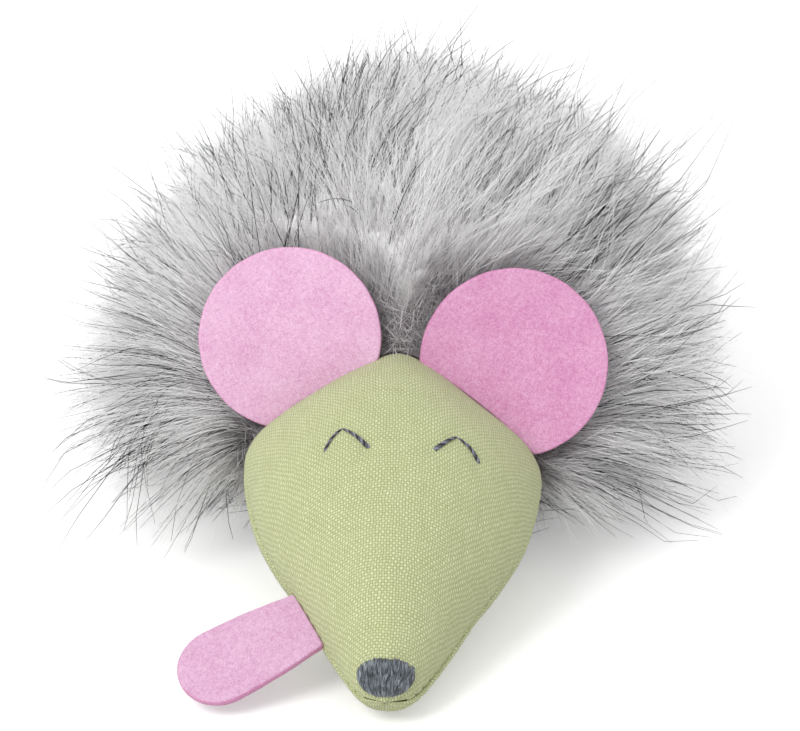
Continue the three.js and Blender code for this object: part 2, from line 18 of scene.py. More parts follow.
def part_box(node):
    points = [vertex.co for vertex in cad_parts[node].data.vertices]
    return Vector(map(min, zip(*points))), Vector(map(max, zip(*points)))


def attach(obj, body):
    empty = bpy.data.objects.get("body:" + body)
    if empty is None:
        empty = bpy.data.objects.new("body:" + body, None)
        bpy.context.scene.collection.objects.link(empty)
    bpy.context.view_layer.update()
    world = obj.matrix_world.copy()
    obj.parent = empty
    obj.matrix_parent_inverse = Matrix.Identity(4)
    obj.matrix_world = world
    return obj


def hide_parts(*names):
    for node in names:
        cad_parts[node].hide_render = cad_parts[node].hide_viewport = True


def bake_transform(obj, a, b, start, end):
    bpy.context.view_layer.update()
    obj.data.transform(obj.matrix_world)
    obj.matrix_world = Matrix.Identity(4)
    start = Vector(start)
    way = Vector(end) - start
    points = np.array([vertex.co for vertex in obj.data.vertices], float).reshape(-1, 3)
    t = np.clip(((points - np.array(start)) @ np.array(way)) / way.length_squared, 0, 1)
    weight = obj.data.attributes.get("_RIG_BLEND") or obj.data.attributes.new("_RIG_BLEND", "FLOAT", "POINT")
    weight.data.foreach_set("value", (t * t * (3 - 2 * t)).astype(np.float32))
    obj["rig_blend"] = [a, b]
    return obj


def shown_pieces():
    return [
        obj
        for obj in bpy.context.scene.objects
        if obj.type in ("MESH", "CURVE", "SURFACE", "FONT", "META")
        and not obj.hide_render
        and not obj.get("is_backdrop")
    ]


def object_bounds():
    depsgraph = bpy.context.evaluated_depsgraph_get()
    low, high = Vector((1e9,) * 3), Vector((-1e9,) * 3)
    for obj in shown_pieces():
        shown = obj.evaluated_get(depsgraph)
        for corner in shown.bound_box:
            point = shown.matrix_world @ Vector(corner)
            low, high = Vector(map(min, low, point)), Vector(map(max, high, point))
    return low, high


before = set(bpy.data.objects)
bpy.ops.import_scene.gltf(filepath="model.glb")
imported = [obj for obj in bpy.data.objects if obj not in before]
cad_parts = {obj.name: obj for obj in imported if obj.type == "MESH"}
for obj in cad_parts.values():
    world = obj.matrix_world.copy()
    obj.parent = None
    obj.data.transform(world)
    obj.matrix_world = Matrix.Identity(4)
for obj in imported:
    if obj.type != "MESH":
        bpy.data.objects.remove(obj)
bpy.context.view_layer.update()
mm = 0.001

# %% [markdown]
# ## The toy's sizes
# A soft toy is cut from flat cloth, but its stuffed form is easier to describe by
# stations: slices across the head or the body, each with a place along the toy, a half
# width and the heights of its crown line, its seam and its underside. The frame was made
# from such tables. We repeat them here in metres, so that the cloth lies exactly on it.

# %% The tables of stations
head_length, head_half_width, crown_height = 89 * mm, 38.8 * mm, 58 * mm
body_length, body_half_width, back_height = 148 * mm, 42 * mm, 71 * mm
belly_lift, pile_length = 6 * mm, 47 * mm
canvas_thickness, backing_thickness = 1 * mm, 1 * mm
seam_gap, touch_gap, ear_seat_gap = 1.3 * mm, 0.35 * mm, 0.95 * mm
felt_thickness = 2 * mm
roll = math.radians(4)

# Forward places of crown, seam and chin; half width; heights of crown, seam and chin;
# and how round the slice is above and below its seam: 2 is an ellipse and 1 a triangle
head_shares = np.array([
    [0.0, 0.115, 0.05, 0.935, 1.0, 0.613, 0.03, 1.2, 2.2],
    [0.13, 0.215, 0.17, 0.99, 1.02, 0.56, 0.012, 1.6, 2],
    [0.27, 0.335, 0.3, 0.955, 0.995, 0.49, 0.006, 1.9, 1.8],
    [0.415, 0.45, 0.43, 0.885, 0.93, 0.43, 0.006, 2, 1.65],
    [0.555, 0.565, 0.555, 0.755, 0.825, 0.365, 0.006, 2, 1.55],
    [0.69, 0.685, 0.67, 0.582, 0.69, 0.295, 0.008, 2, 1.5],
    [0.815, 0.8, 0.78, 0.435, 0.545, 0.23, 0.012, 2, 1.5],
    [0.925, 0.9, 0.87, 0.3, 0.4, 0.178, 0.022, 2, 1.5],
    [0.987, 0.966, 0.94, 0.18, 0.262, 0.142, 0.045, 2, 1.6],
    [1.0, 1.0, 1.0, 0.0, 0.115, 0.115, 0.115, 2, 2],
])
head_scale = np.array([-head_length] * 3 + [head_half_width] + [crown_height] * 3 + [1, 1])
head_rows = head_shares * head_scale
seam_height = head_rows[0, 5]

# Place back, half width, height of the back, lift of the belly, and roundness
body_shares = np.array([
    [0.1, 0.965, 0.91, 0.17, 1.7],
    [0.26, 1.0, 0.985, 0.176, 2],
    [0.44, 1.0, 1.0, 0.176, 2],
    [0.62, 0.96, 0.96, 0.185, 2],
    [0.77, 0.86, 0.875, 0.22, 2],
    [0.89, 0.66, 0.76, 0.35, 2],
    [0.97, 0.38, 0.63, 0.6, 2],
    [1.0, 0.0, seam_height / back_height, 1.0, 2],
])
# How far the pile stands off the backing and leans back, of its length
pile_shares = np.array([
    [0.008, 0.0], [0.86, 0.02], [1.0, 0.06], [0.93, 0.12], [0.82, 0.2],
    [0.7, 0.34], [0.56, 0.5], [0.38, 0.66], [0.0, 0.8],
])
pile_top_share, pile_shoulder, pile_sway, pile_start_share = 0.86, 0.3, 0.12, 1 / 8
under_roundness, pile_under_roundness = 2.2, 3.4

back, wide, top, lift, round_above = body_shares.T
back_y = back * body_length + seam_gap
under = np.maximum(lift * seam_height, min(belly_lift, seam_height))
neck_row = head_rows[0] + np.array([seam_gap] * 3 + [0] * 6)
body_rows = np.vstack([
    neck_row,
    np.stack([
        back_y, back_y, back_y, wide * body_half_width, top * back_height,
        np.full(8, seam_height), under, round_above, np.full(8, under_roundness),
    ], axis=1),
])
print("head stations:", len(head_rows), "body stations:", len(body_rows))

# %% [markdown]
# ## From stations to a surface
# Between two stations the form runs on a smooth curve, and round a station it runs on a
# soft oval, rounder or flatter by its roundness. Numpy does all points of a surface at
# once. The whole toy lies rolled a few degrees onto its cheek, as a soft thing does.

# %% Points on the toy's form
def rows_at(table, place):
    """The table's row at a place from 0 to 1, on smooth curves through its rows"""
    last = len(table) - 1
    at = np.minimum(np.asarray(place, float) * last, last - 1e-9)
    i = np.floor(at).astype(int)
    t = (at - i)[..., None]
    a, b, d, e = (table[np.clip(i + k, 0, last)] for k in (-1, 0, 1, 2))
    return b + 0.5 * t * (d - a + t * (2 * a - 5 * b + 4 * d - e + t * (3 * (b - d) + e - a)))


frame_shift = np.zeros(3)


def outline(rows, turn, grow=0.0, lift=0.0, blunt=0.0):
    """Points round a station: turn 0 is the crown line, a quarter turn the left seam.
    A blunt width rounds a pointed crown line off, as stuffing does."""
    top_y, seam_y, under_y, half, top, seam, under, round_above, round_under = (
        np.moveaxis(rows, -1, 0))
    above = np.cos(turn) >= 0
    roundness = np.where(above, round_above, round_under)
    reach = np.maximum(np.where(above, top - seam, seam - under) + grow - lift, 0)
    half = np.maximum(half + grow, 0)
    wide = np.abs(np.sin(turn)) ** (2 / roundness)
    high = np.abs(np.cos(turn)) ** (2 / roundness)
    forward = wide
    if blunt:
        edge = np.where(above, np.clip((2 - roundness) / 0.8, 0, 1), 0) * blunt
        edge = np.minimum(edge / np.maximum(half, 1e-6), 0.3)
        softer = np.minimum(np.hypot(wide, edge * (1 - wide**2)), 1)
        lost = 1 - (1 - edge**roundness) ** (1 / roundness)
        high = ((1 - softer**roundness) ** (1 / roundness)
                + lost * np.exp(-((wide * half / (12 * mm)) ** 2)))
        forward = (softer - edge) / (1 - edge)
    z = seam + np.where(above, 1, -1) * (lift + reach * high) - seam_height
    x = np.sign(np.sin(turn)) * half * wide
    y = np.where(above, top_y, under_y)
    y = y + (seam_y - y) * forward
    turned = [x * math.cos(roll) + z * math.sin(roll), y,
              seam_height + z * math.cos(roll) - x * math.sin(roll)]
    return np.stack(np.broadcast_arrays(*turned), axis=-1) + frame_shift


# %% The pile's outer shape
def body_at(place, inset=0.0):
    rows = rows_at(body_rows, place)
    rows[..., :3] -= inset * np.asarray(place)[..., None]
    return rows


def pile_outline(place, turn):
    """The outer shape of the pile, where the tips of its hairs end"""
    rows = body_at(place)
    off, lean = np.moveaxis(np.maximum(rows_at(pile_shares, place), 0) * pile_length, -1, 0)
    formed = np.minimum(np.asarray(place) / pile_start_share, 1)
    rows[..., :3] += lean[..., None]
    rows[..., 3] = np.maximum(rows[..., 3], 0) + off
    rows[..., 4] += off * pile_top_share
    rows[..., 6] -= off
    rows[..., 7] -= pile_shoulder * formed
    rows[..., 8] = under_roundness + (pile_under_roundness - under_roundness) * formed
    points = outline(rows, turn)
    rise = np.maximum(points[..., 2] - seam_height, 0)
    points[..., 2] += formed * (points[..., 0] - frame_shift[0]) * math.sin(roll)
    points[..., 0] += formed * rise * pile_sway
    return points


# %% Where the tables sit in the frame
# The frame's own filling of the head tells where the tables sit in the frame
rings = outline(rows_at(head_rows, np.linspace(0.94, 0, 13))[:, None],
                np.linspace(0, 2 * math.pi, 25)[None, :24], -canvas_thickness - touch_gap)
filling_low = np.array(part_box("head_filling")[0])
frame_shift = filling_low - rings.min((0, 1))
frame_shift[2] = 0
print("tables moved by, mm:", np.round(frame_shift / mm, 3))

# %% [markdown]
# ## Small helpers for meshes
# A grid of points is the handiest start for a sewn panel, since a row and a column
# number say where on the panel a point is. These helpers turn grids into meshes, merge
# what has shrunk to a point, and make sure that the faces look outwards.

# %% Mesh helpers
scene = bpy.context.scene


def grid_faces(rows, columns, wrap=False):
    i, j = np.meshgrid(np.arange(rows - 1), np.arange(columns - (not wrap)), indexing="ij")
    a, b = i * columns + j, i * columns + (j + 1) % columns
    return np.stack([a, b, b + columns, a + columns], axis=-1).reshape(-1, 4)


def read(items, name, width=3):
    """One property of every point or face, a row of numbers for each"""
    values = np.zeros(len(items) * width)
    items.foreach_get(name, values)
    return values.reshape(-1, width)


def keep(mesh, name, values):
    """Stores a value on each point: a number, a direction, or two numbers as a UV map"""
    values = np.asarray(values, float).reshape(len(mesh.vertices), -1)
    if values.shape[1] == 2:
        corner = read(mesh.loops, "vertex_index", 1)[:, 0].astype(int)
        mesh.uv_layers.new(name=name).data.foreach_set("uv", values[corner].ravel())
        return
    kind, field = {1: ("FLOAT", "value"), 3: ("FLOAT_VECTOR", "vector")}[values.shape[1]]
    mesh.attributes.new(name, kind, "POINT").data.foreach_set(field, values.ravel())


def placed(name, data):
    """A new object in the scene"""
    holder = bpy.data.objects.new(name, data)
    scene.collection.objects.link(holder)
    return holder


def smooth_piece(name, form, mesh):
    """Ends the work on a form: it becomes the mesh of a smooth object"""
    form.to_mesh(mesh)
    form.free()
    mesh.polygons.foreach_set("use_smooth", [True] * len(mesh.polygons))
    return placed(name, mesh)


def mesh_piece(name, points, faces, maps=(), merge=1e-7):
    """An object from points and faces, with per-point values kept as attributes or UVs"""
    mesh = bpy.data.meshes.new(name)
    mesh.from_pydata(np.asarray(points).reshape(-1, 3).tolist(), [], np.asarray(faces).tolist())
    for key, values in dict(maps).items():
        keep(mesh, key, values)
    form = bmesh.new()
    form.from_mesh(mesh)
    bmesh.ops.remove_doubles(form, verts=form.verts, dist=merge)
    bmesh.ops.dissolve_degenerate(form, edges=form.edges, dist=merge)
    piece = smooth_piece(name, form, mesh)
    # The faces are turned over if most of them look towards the middle of the mesh
    centres, normals = read(mesh.polygons, "center"), read(mesh.polygons, "normal")
    areas = read(mesh.polygons, "area", 1)[:, 0]
    if ((centres - centres.mean(0)) * normals).sum(1) @ areas < 0:
        mesh.flip_normals()
    return piece


# %% Lengths, directions and lumps
def norm(vectors):
    return np.linalg.norm(vectors, axis=-1)


def unit(vectors, least=1e-9):
    """The same directions at length 1"""
    return vectors / np.maximum(np.linalg.norm(vectors, axis=-1, keepdims=True), least)


def steps(points, axis):
    """How far each point of a grid lies from the one before it"""
    return norm(np.diff(points, axis=axis, prepend=points.take([0], axis)))


def normals_of(points):
    """Outward directions at the points of a grid, rows along the toy and columns round it"""
    normal = unit(np.cross(np.gradient(points, axis=0), np.gradient(points, axis=1)), 1e-12)
    middle = points.reshape(-1, 3).mean(0)
    return normal if ((points - middle) * normal).sum() > 0 else -normal


def lumps(points, size, seed=0.0):
    """Smooth noise between about -1 and 1 at each point, with lumps of a given size"""
    flat = np.asarray(points).reshape(-1, 3) / size + seed
    return np.array([noise.noise(Vector(p)) for p in flat]).reshape(np.shape(points)[:-1])


def smooth(value):
    """A soft step: 0 up to 0 and 1 from 1 on"""
    value = np.clip(value, 0, 1)
    return value * value * (3 - 2 * value)


# %% A piece of the stuffed body
def triangles(piece):
    return sum(len(p.vertices) - 2 for p in piece.data.polygons)


def dressed(piece, slot, node=None, fill=None):
    """A piece of the stuffed body, which rides on it and hides the frame's node that it
    replaces, if any. Its slot and how full it is, if it is padded, are not used"""
    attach(piece, "stuffed_body")
    if node:
        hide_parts(node)
    print(piece.name, "triangles:", triangles(piece))
    return piece

# %% [markdown]
# ## Writing node trees as sums
# Both materials and Geometry Nodes are trees of nodes. Wiring them by hand is long, so
# one small class stands for a value in a tree: adding or multiplying two of them adds the
# Math or Vector Math node, and one method adds any other node, settings first.

# %% A class for values in a node tree
def is_vector(value):
    if isinstance(value, Value):
        return value.socket.type in ("VECTOR", "RGBA")
    return isinstance(value, (tuple, list, Vector))


def socket_of(sockets, key):
    """A socket that is in use, by its name or its number"""
    sockets = [s for s in sockets if s.enabled]
    return sockets[key] if isinstance(key, int) else next(s for s in sockets if s.name == key)


class Value:
    """A socket's value. Plain Python sums of it become nodes."""

    def __init__(self, tree, socket):
        self.tree, self.socket = tree, socket

    def plug(self, node, name, value):
        found = socket_of(node.inputs, name)
        if isinstance(value, Value):
            self.tree.links.new(value.socket, found)
        else:
            found.default_value = value

    def node(self, kind, settings=None, inputs=None, out=0):
        """Any other node: its type, its settings, then its inputs by name or number"""
        node = self.tree.nodes.new(kind)
        for name, value in (settings or {}).items():
            setattr(node, name, value)
        for name, value in (inputs or {}).items():
            self.plug(node, name, value)
        return Value(self.tree, socket_of(node.outputs, out))

    def other(self, name):
        """Another output of the same node"""
        return Value(self.tree, socket_of(self.socket.node.outputs, name))

    def math(self, operation, *values):
        kind, inputs = "ShaderNodeMath", dict(enumerate(values))
        if any(is_vector(v) for v in values):
            kind = "ShaderNodeVectorMath"
            if operation == "MULTIPLY" and not all(is_vector(v) for v in values):
                vector, scale = sorted(values, key=is_vector, reverse=True)
                operation, inputs = "SCALE", {0: vector, "Scale": scale}
        return self.node(kind, {"operation": operation}, inputs)

    def __add__(self, o):
        return self.math("ADD", self, o)

    def __radd__(self, o):
        return self.math("ADD", o, self)

    def __sub__(self, o):
        return self.math("SUBTRACT", self, o)

    def __rsub__(self, o):
        return self.math("SUBTRACT", o, self)

    def __mul__(self, o):
        return self.math("MULTIPLY", self, o)

    def __rmul__(self, o):
        return self.math("MULTIPLY", o, self)

    def __truediv__(self, o):
        return self.math("DIVIDE", self, o)

    def __pow__(self, o):
        return self.math("POWER", self, o)

    def at_least(self, o):
        return self.math("MAXIMUM", self, o)

    def mixed(self, a, b):
        """a where this value is 0 and b where it is 1, as colours, vectors or numbers"""
        kind = "FLOAT"
        if is_vector(a) or is_vector(b):
            colours = [v for v in (a, b) if (v.socket.type == "RGBA" if isinstance(v, Value)
                                             else len(v) == 4)]
            kind = "RGBA" if colours else "VECTOR"
        return self.node("ShaderNodeMix", {"data_type": kind},
                         {"Factor": self, "A": a, "B": b})

    def ramp(self, low, high, smooth=True):
        """0 below low, 1 above high"""
        kind = "SMOOTHSTEP" if smooth else "LINEAR"
        return self.node("ShaderNodeMapRange", {"interpolation_type": kind},
                         {"Value": self, "From Min": low, "From Max": high})

    def parts(self):
        xyz = self.node("ShaderNodeSeparateXYZ", {}, {0: self})
        return xyz, xyz.other("Y"), xyz.other("Z")

    def joined(self, x, y, z=0.0):
        return self.node("ShaderNodeCombineXYZ", {}, {0: x, 1: y, 2: z})

    def cloudy(self, scale, detail=2.0, roughness=0.5):
        """Noise of this vector"""
        return self.node("ShaderNodeTexNoise", {}, {
            "Vector": self, "Scale": scale, "Detail": detail, "Roughness": roughness})

    def astray(self, *noise_sizes):
        """Noise of this vector as a direction"""
        return self.cloudy(*noise_sizes).other("Color") - (0.5, 0.5, 0.5)


# %% Materials from sums
def srgb(red, green, blue):
    """A colour as a picture program shows it, 0 to 255, as Blender's linear colour"""
    linear = [c / 255 / 12.92 if c <= 10 else ((c / 255 + 0.055) / 1.055) ** 2.4
              for c in (red, green, blue)]
    return (*linear, 1.0)


def finish(name, **constants):
    """A new material, and a start for its sums: the output of its main shader"""
    material = bpy.data.materials.new(name)
    material.use_nodes = True
    shader = material.node_tree.nodes["Principled BSDF"]
    for key, value in constants.items():
        shader.inputs[key.replace("_", " ")].default_value = value
    return material, Value(material.node_tree, shader.outputs[0])


def paint(start, colour, height=None, strength=0.7, depth=1.0):
    """Gives the main shader its colour and, from a height, its bumps"""
    shader = start.socket.node
    start.plug(shader, "Base Color", colour)
    if height is not None:
        start.plug(shader, "Normal", start.node("ShaderNodeBump", {}, {
            "Strength": strength, "Distance": depth, "Height": height}))


def uv_map(start, name):
    return start.node("ShaderNodeUVMap", {"uv_map": name})


def on_surface(start, name, out="Fac"):
    """A value that is stored on the mesh"""
    return start.node("ShaderNodeAttribute", {"attribute_name": name}, out=out)

# %% [markdown]
# ## Canvas
# The head is a plain-weave cotton canvas, with its threads 0.72 mm apart. In a plain
# weave each thread goes over one and under the next, so the crossings make a
# chequer of little humps, and between the humps the colour is painted darker, as painted
# shade. A picture of cloth would blur up close; sines of the cloth's own
# measured coordinates stay sharp, and the threads then follow the stuffed form.

# %% The canvas
thread_pitch = 0.72 * mm


def canvas_finish(name, light, dark, gap):
    material, start = finish(name, Roughness=0.92, Specular_IOR_Level=0.25,
                             Sheen_Weight=0.12, Sheen_Roughness=0.6)
    cloth = uv_map(start, "Cloth")
    column, row, _ = (cloth + cloth.astray(160, 3, 0.6) * (1.5 * mm)).parts()
    warp, weft = column * (1 / thread_pitch), row * (1 / thread_pitch)
    over_warp, over_weft = (start.math("SINE", v * math.pi) for v in (warp, weft))
    across, along = (start.math("ABSOLUTE", v) for v in (over_warp, over_weft))
    # 1 where the lengthwise thread is on top, and the crosswise one is sunk there
    is_warp = start.math("GREATER_THAN", over_warp * over_weft, 0.0)
    height = is_warp.mixed((across**0.5) * (along**0.5) * 0.5, (across**0.5) * (along**0.35))
    warp_tone = start.joined(start.math("FLOOR", warp) * 3.7, weft * 0.13, 0.0).cloudy(1.0, 1)
    weft_tone = start.joined(warp * 0.1, start.math("FLOOR", weft) * 5.3, 9.0).cloudy(1.0, 1)
    tone = is_warp.mixed(weft_tone, warp_tone * 0.8)
    slub = cloth.cloudy(1700, 3, 0.7)
    colour = (tone * 0.6 + slub * 0.4).ramp(0.28, 0.66, False).mixed(dark, light)
    # Painted shade: where the threads dip between the humps, the colour goes to the dark gap colour
    paint(start, height.ramp(0.0, 0.72, False).mixed(gap, colour),
          height + tone * 0.5 + slub * 0.4, 0.7, 0.24 * mm)
    return material


# Light and dark thread, and the gap's colour, which is painted shade between the threads
green_canvas = canvas_finish("green_canvas", srgb(212, 216, 174), srgb(180, 185, 139),
                             srgb(128, 134, 88))

# %% [markdown]
# ## Felt
# Felt is not woven: its fibres lie every way and are pressed together, so it has no
# grid, only fine mottling. Its cut edge is rougher, and painted a deeper pink than its face
# as painted shade.
# The pattern reads a place stored on the felt itself, so it stays put when a flap bends.

# %% The felt
def felt_finish(name, light, dark, shaded_edge_colour):
    material, start = finish(name, Roughness=0.95, Specular_IOR_Level=0.2,
                             Sheen_Weight=0.25, Sheen_Roughness=0.5)
    place, rim = on_surface(start, "felt_place", "Vector"), on_surface(start, "rim")
    warped = place + place.astray(900, 2) * (1.2 * mm)
    fibres, patches = warped.cloudy(2600, 4, 0.75), warped.cloudy(900, 3, 0.65)
    tone = fibres * 0.6 + patches * 0.24 + place.cloudy(90, 3) * 0.16
    colour = tone.ramp(0.4, 0.6, False).mixed(dark, light)
    # Painted shade: the cut edge is mixed towards a deeper pink than the face
    paint(start, (rim * (0.3 + fibres * 0.5)).mixed(colour, shaded_edge_colour),
          fibres + patches * 0.8, 0.8, 0.3 * mm)
    return material


# Of each flap: the felt's light and dark, and its cut edge, painted deeper as shade. The
# flaps are copies of one pink felt, each lighter or darker as painted shade, the left ear
# darkest.
lit_and_shaded_felts = {name: felt_finish(f"pink_felt_{name}", *(srgb(*c) for c in colours))
         for name, colours in {
             "left": ((224, 173, 205), (193, 119, 164), (200, 116, 164)),
             "right": ((230, 192, 218), (201, 144, 181), (208, 122, 170)),
             "tongue": ((219, 183, 208), (192, 138, 173), (200, 112, 160))}.items()}

# %% [markdown]
# ## Thread
# Embroidery thread is a few plies twisted round each other, each a bundle of fine shiny
# fibres. The plies are modelled further on; the material adds the fibres, as streaks that
# run along the thread's own map, and a soft sheen. It also paints one ply lighter than the
# others, as painted highlights that wind along the twist.

# %% The threads
ply_step = 1.7  # each ply's map starts this far from the last one's


def thread_finish(name, light, dark, roughness, ply_highlight, streaks=0.0):
    material, start = finish(name, Roughness=roughness, Specular_IOR_Level=0.4,
                             Sheen_Weight=0.08)
    round_it, along, _ = uv_map(start, "Thread").parts()
    fibres = start.joined(round_it * 9.0 + along * 1.5, along * 0.35, 0.0).cloudy(3.0, 3, 0.7)
    ply = start.math("FLOOR", round_it * (1 / ply_step) + 0.02) * 0.5
    # Painted highlight: the plies are painted from dark to light, so a light ply winds round the thread
    tone = fibres.ramp(0.3, 0.72, False) * (1 - ply_highlight) + ply**1.6 * ply_highlight
    if streaks:
        # Side by side stitches differ in tone, and each is lighter in places
        place = start.node("ShaderNodeTexCoord", out="Object") * (2100.0, 420.0, 420.0)
        tone = tone * (1 - streaks) + place.cloudy(1.0, 3, 0.65).ramp(0.42, 0.72) * streaks
    paint(start, tone.mixed(dark, light), fibres, 0.6, 0.08 * mm)
    return material


slate_thread = thread_finish("slate_thread", srgb(150, 159, 168), srgb(5, 8, 11), 0.34, 0.5,
                             0.6)
eye_thread = thread_finish("eye_thread", srgb(128, 130, 144), srgb(5, 6, 8), 0.38, 0.85)
green_thread = thread_finish("green_thread", srgb(196, 201, 152), srgb(160, 166, 116), 0.6, 0.2)

# %% [markdown]
# ## Fur, backing and what is inside
# Faux fur is a knitted backing with two kinds of hair: a dense pale underfur and sparse
# dark guard hairs. Each hair's map holds its own tone across and its root-to-tip place
# along, and the colour reads nothing else. The fillings are loose white fibre, the pouch
# thin cotton, and the herb dry crumbs.

# %% The fur's and the filling's materials
def hair_finish(name, root, middle, tip, root_end, tone_spread, shine=0.4):
    material, start = finish(name, Roughness=0.5, Specular_IOR_Level=shine)
    tone, along, _ = uv_map(start, "OFBake").parts()
    colour = along.ramp(0.02, root_end).mixed(srgb(*root), srgb(*middle))
    colour = along.ramp(0.45, 1.0).mixed(colour, srgb(*tip))
    paint(start, colour * (tone * tone_spread + (1 - tone_spread)))
    return material


# Root, middle and tip; where the root's colour ends; how much hairs differ; shine if not 0.4
under_hair, neck_hair, wool_hair, fuzz_hair, dark_fuzz, guard_hair, guard_tip = (
    hair_finish("grey_fur" + name, *measures) for name, *measures in (
        ("", (158, 152, 155), (252, 251, 252), (255, 255, 255), 0.4, 0.2),
        ("_neck", (104, 98, 101), (250, 249, 250), (255, 255, 255), 0.45, 0.25),
        ("_wool", (246, 245, 246), (254, 253, 254), (255, 255, 255), 0.4, 0.12),
        ("_fuzz", (170, 165, 167), (222, 219, 221), (250, 248, 249), 0.5, 0.5),
        ("_dark_fuzz", (112, 107, 109), (142, 138, 140), (214, 211, 213), 0.5, 0.5),
        ("_guard", (84, 79, 82), (14, 13, 14), (8, 7, 8), 0.25, 0.5, 0.15),
        ("_guard_tip", (40, 37, 39), (10, 9, 10), (6, 6, 6), 0.2, 0.5, 0.15)))


# %% The wool's material
def wool_finish(name, root, light, dark):
    """The dense wool under the loose hairs: fine streaks that run the hairs' way"""
    material, start = finish(name, Roughness=0.95, Specular_IOR_Level=0.15)
    across, along, _ = uv_map(start, "Wool").parts()
    across = across + start.joined(across, along, 0.0).cloudy(120, 2) * (5 * mm)
    streaks = start.joined(across * 1300, along * 110, 0.0).cloudy(1.0, 4, 0.75)
    tufts = start.joined(across * 210, along * 70, 3.0).cloudy(1.0, 2, 0.6)
    tone = (streaks * 0.65 + tufts * 0.35).ramp(0.36, 0.58, False)
    # Darker where the wool lies close to the backing, by the neck: partly the fur's own dark roots, partly
    # painted shade deep in the pile
    paint(start, on_surface(start, "depth").ramp(0.0, 1.0).mixed(root, tone.mixed(dark, light)),
          streaks + tufts * 0.5, 0.7, 0.9 * mm)
    return material


under_wool = wool_finish("grey_fur_underwool", srgb(128, 122, 125), srgb(255, 255, 255),
                         srgb(238, 236, 238))


# %% Knit, filling, cotton and herb
def fibre_finish(name, light, dark, size, depth):
    """Matt cloth or fibre with mottling of one size, on the object's own coordinates"""
    material, start = finish(name, Roughness=0.95, Specular_IOR_Level=0.2)
    place = start.node("ShaderNodeTexCoord", out="Object")
    fine, coarse = place.cloudy(1 / (size * mm), 5, 0.7), place.cloudy(0.15 / (size * mm), 2)
    paint(start, (fine * 0.7 + coarse * 0.3).ramp(0.3, 0.7, False).mixed(
        srgb(*dark), srgb(*light)), fine, 0.7, depth * mm)
    return material


# Light, dark, the size of the mottling and its depth in mm
backing_knit, fibre_filling, pouch_cotton, dried_catnip = (fibre_finish(*row) for row in (
    ("fur_backing", (120, 115, 117), (84, 80, 82), 0.6, 0.2),
    ("fibre_filling", (248, 246, 240), (222, 218, 208), 1.2, 0.6),
    ("pouch_cotton", (235, 228, 208), (208, 198, 172), 0.4, 0.1),
    ("dried_catnip", (140, 146, 92), (74, 78, 46), 0.9, 0.5)))
print("materials:", len(bpy.data.materials))

# %% [markdown]
# ## The canvas head
# Two panels make the head: a top panel that runs over the crown from cheek to cheek, and
# a chin panel below. We lay a fine grid on the form, then press the cloth as stuffing and
# thread do: puckers along the cheek seams, soft dents where the filling is thin, small
# pulls where the eye stitches go in. The edges roll inwards into the seam.

# %% The head's cloth
quarter = math.pi / 2
crown_blunt = 5 * mm
head_places = np.linspace(0, 1, 150)


def tip_lift(places):
    """The nose's stitches pull the very tip of the head up a little"""
    return (smooth((places - 0.9) / 0.1) * 1.5 * mm)[:, None] * [0, 0, 1]


def head_grid(from_turn, to_turn, columns):
    """The form from one side seam to the other. The seam closes up towards the nose."""
    turns = np.linspace(from_turn, to_turn, columns)
    apart = seam_gap / 2 * np.clip((1 - head_places) / 0.16, 0.05, 1)[:, None]
    cloth = outline(rows_at(head_rows, head_places)[:, None], turns[None], 0.0, apart,
                    crown_blunt)
    return turns, cloth + tip_lift(head_places)[:, None]


def place_on(turns, cloth, degrees, share):
    """The grid's point at an angle round from the crown and a share of the way to the nose"""
    column = np.interp(math.radians(degrees), turns, np.arange(len(turns)))
    row = share * (len(cloth) - 1)
    i, j = min(int(row), len(cloth) - 2), min(int(column), len(turns) - 2)
    a, b = row - i, column - j
    weights = np.array([[(1 - a) * (1 - b), (1 - a) * b], [a * (1 - b), a * b]])
    return (cloth[i:i + 2, j:j + 2] * weights[..., None]).sum((0, 1))


# %% Eyes and dents on the head
# Degrees round from the crown line, share of the way to the nose: inner, peak, outer
eye_marks = {"left": [(16, 0.35), (25, 0.294), (37, 0.33)],
             "right": [(-13, 0.358), (-24, 0.29), (-33, 0.338)]}

# Where the cloth is pulled in: degrees, share, how wide and how deep, in mm
dents = [(33, 0.118, 10, 0.9), (2, 0.487, 9, 0.55), (-38, 0.2, 12, 0.5), (48, 0.42, 11, 0.5),
         (-50, 0.55, 9, 0.4), (10, 0.7, 8, 0.3)]
dents += [(d, s, 2.6, 0.5) for marks in eye_marks.values() for d, s in (marks[0], marks[2])]
dents += [(d, s, 2.4, 0.3) for marks in eye_marks.values() for d, s in marks[1:2]]


# %% Stuffing the cloth and turning its edges in
pucker_length, pucker_width = 3.4 * mm, 2.4 * mm


def pressed(turns, cloth, marks, seed):
    """The cloth after stuffing: dents, slow lumps, and puckers along its side seams"""
    depth = np.zeros(cloth.shape[:2])
    for degrees, share, size, deep in marks:
        gap = norm(cloth - place_on(turns, cloth, degrees, share))
        depth += deep * mm * np.exp(-((gap / (size * mm)) ** 2))
    slow, quick = lumps(cloth, 26 * mm, seed), lumps(cloth, 9 * mm, seed + 5)
    depth -= slow * 0.5 * mm + quick * 0.12 * mm
    calm = np.clip((1 - head_places) / 0.3, 0.1, 1)
    for edge in (cloth[:, :1], cloth[:, -1:]):
        gap = norm(cloth - edge)
        run = steps(edge[:, 0], 0).cumsum()
        ripple = 0.5 + 0.5 * np.sin(2 * math.pi * run / pucker_length
                                    + 2 * np.sin(run / (6 * mm)))
        depth += (0.16 + 0.3 * (ripple * calm)[:, None]) * mm * np.exp(-gap / pucker_width)
    fade = np.clip((1 - head_places) / 0.06, 0, 1)[:, None]
    return cloth - normals_of(cloth) * (depth * fade)[..., None]


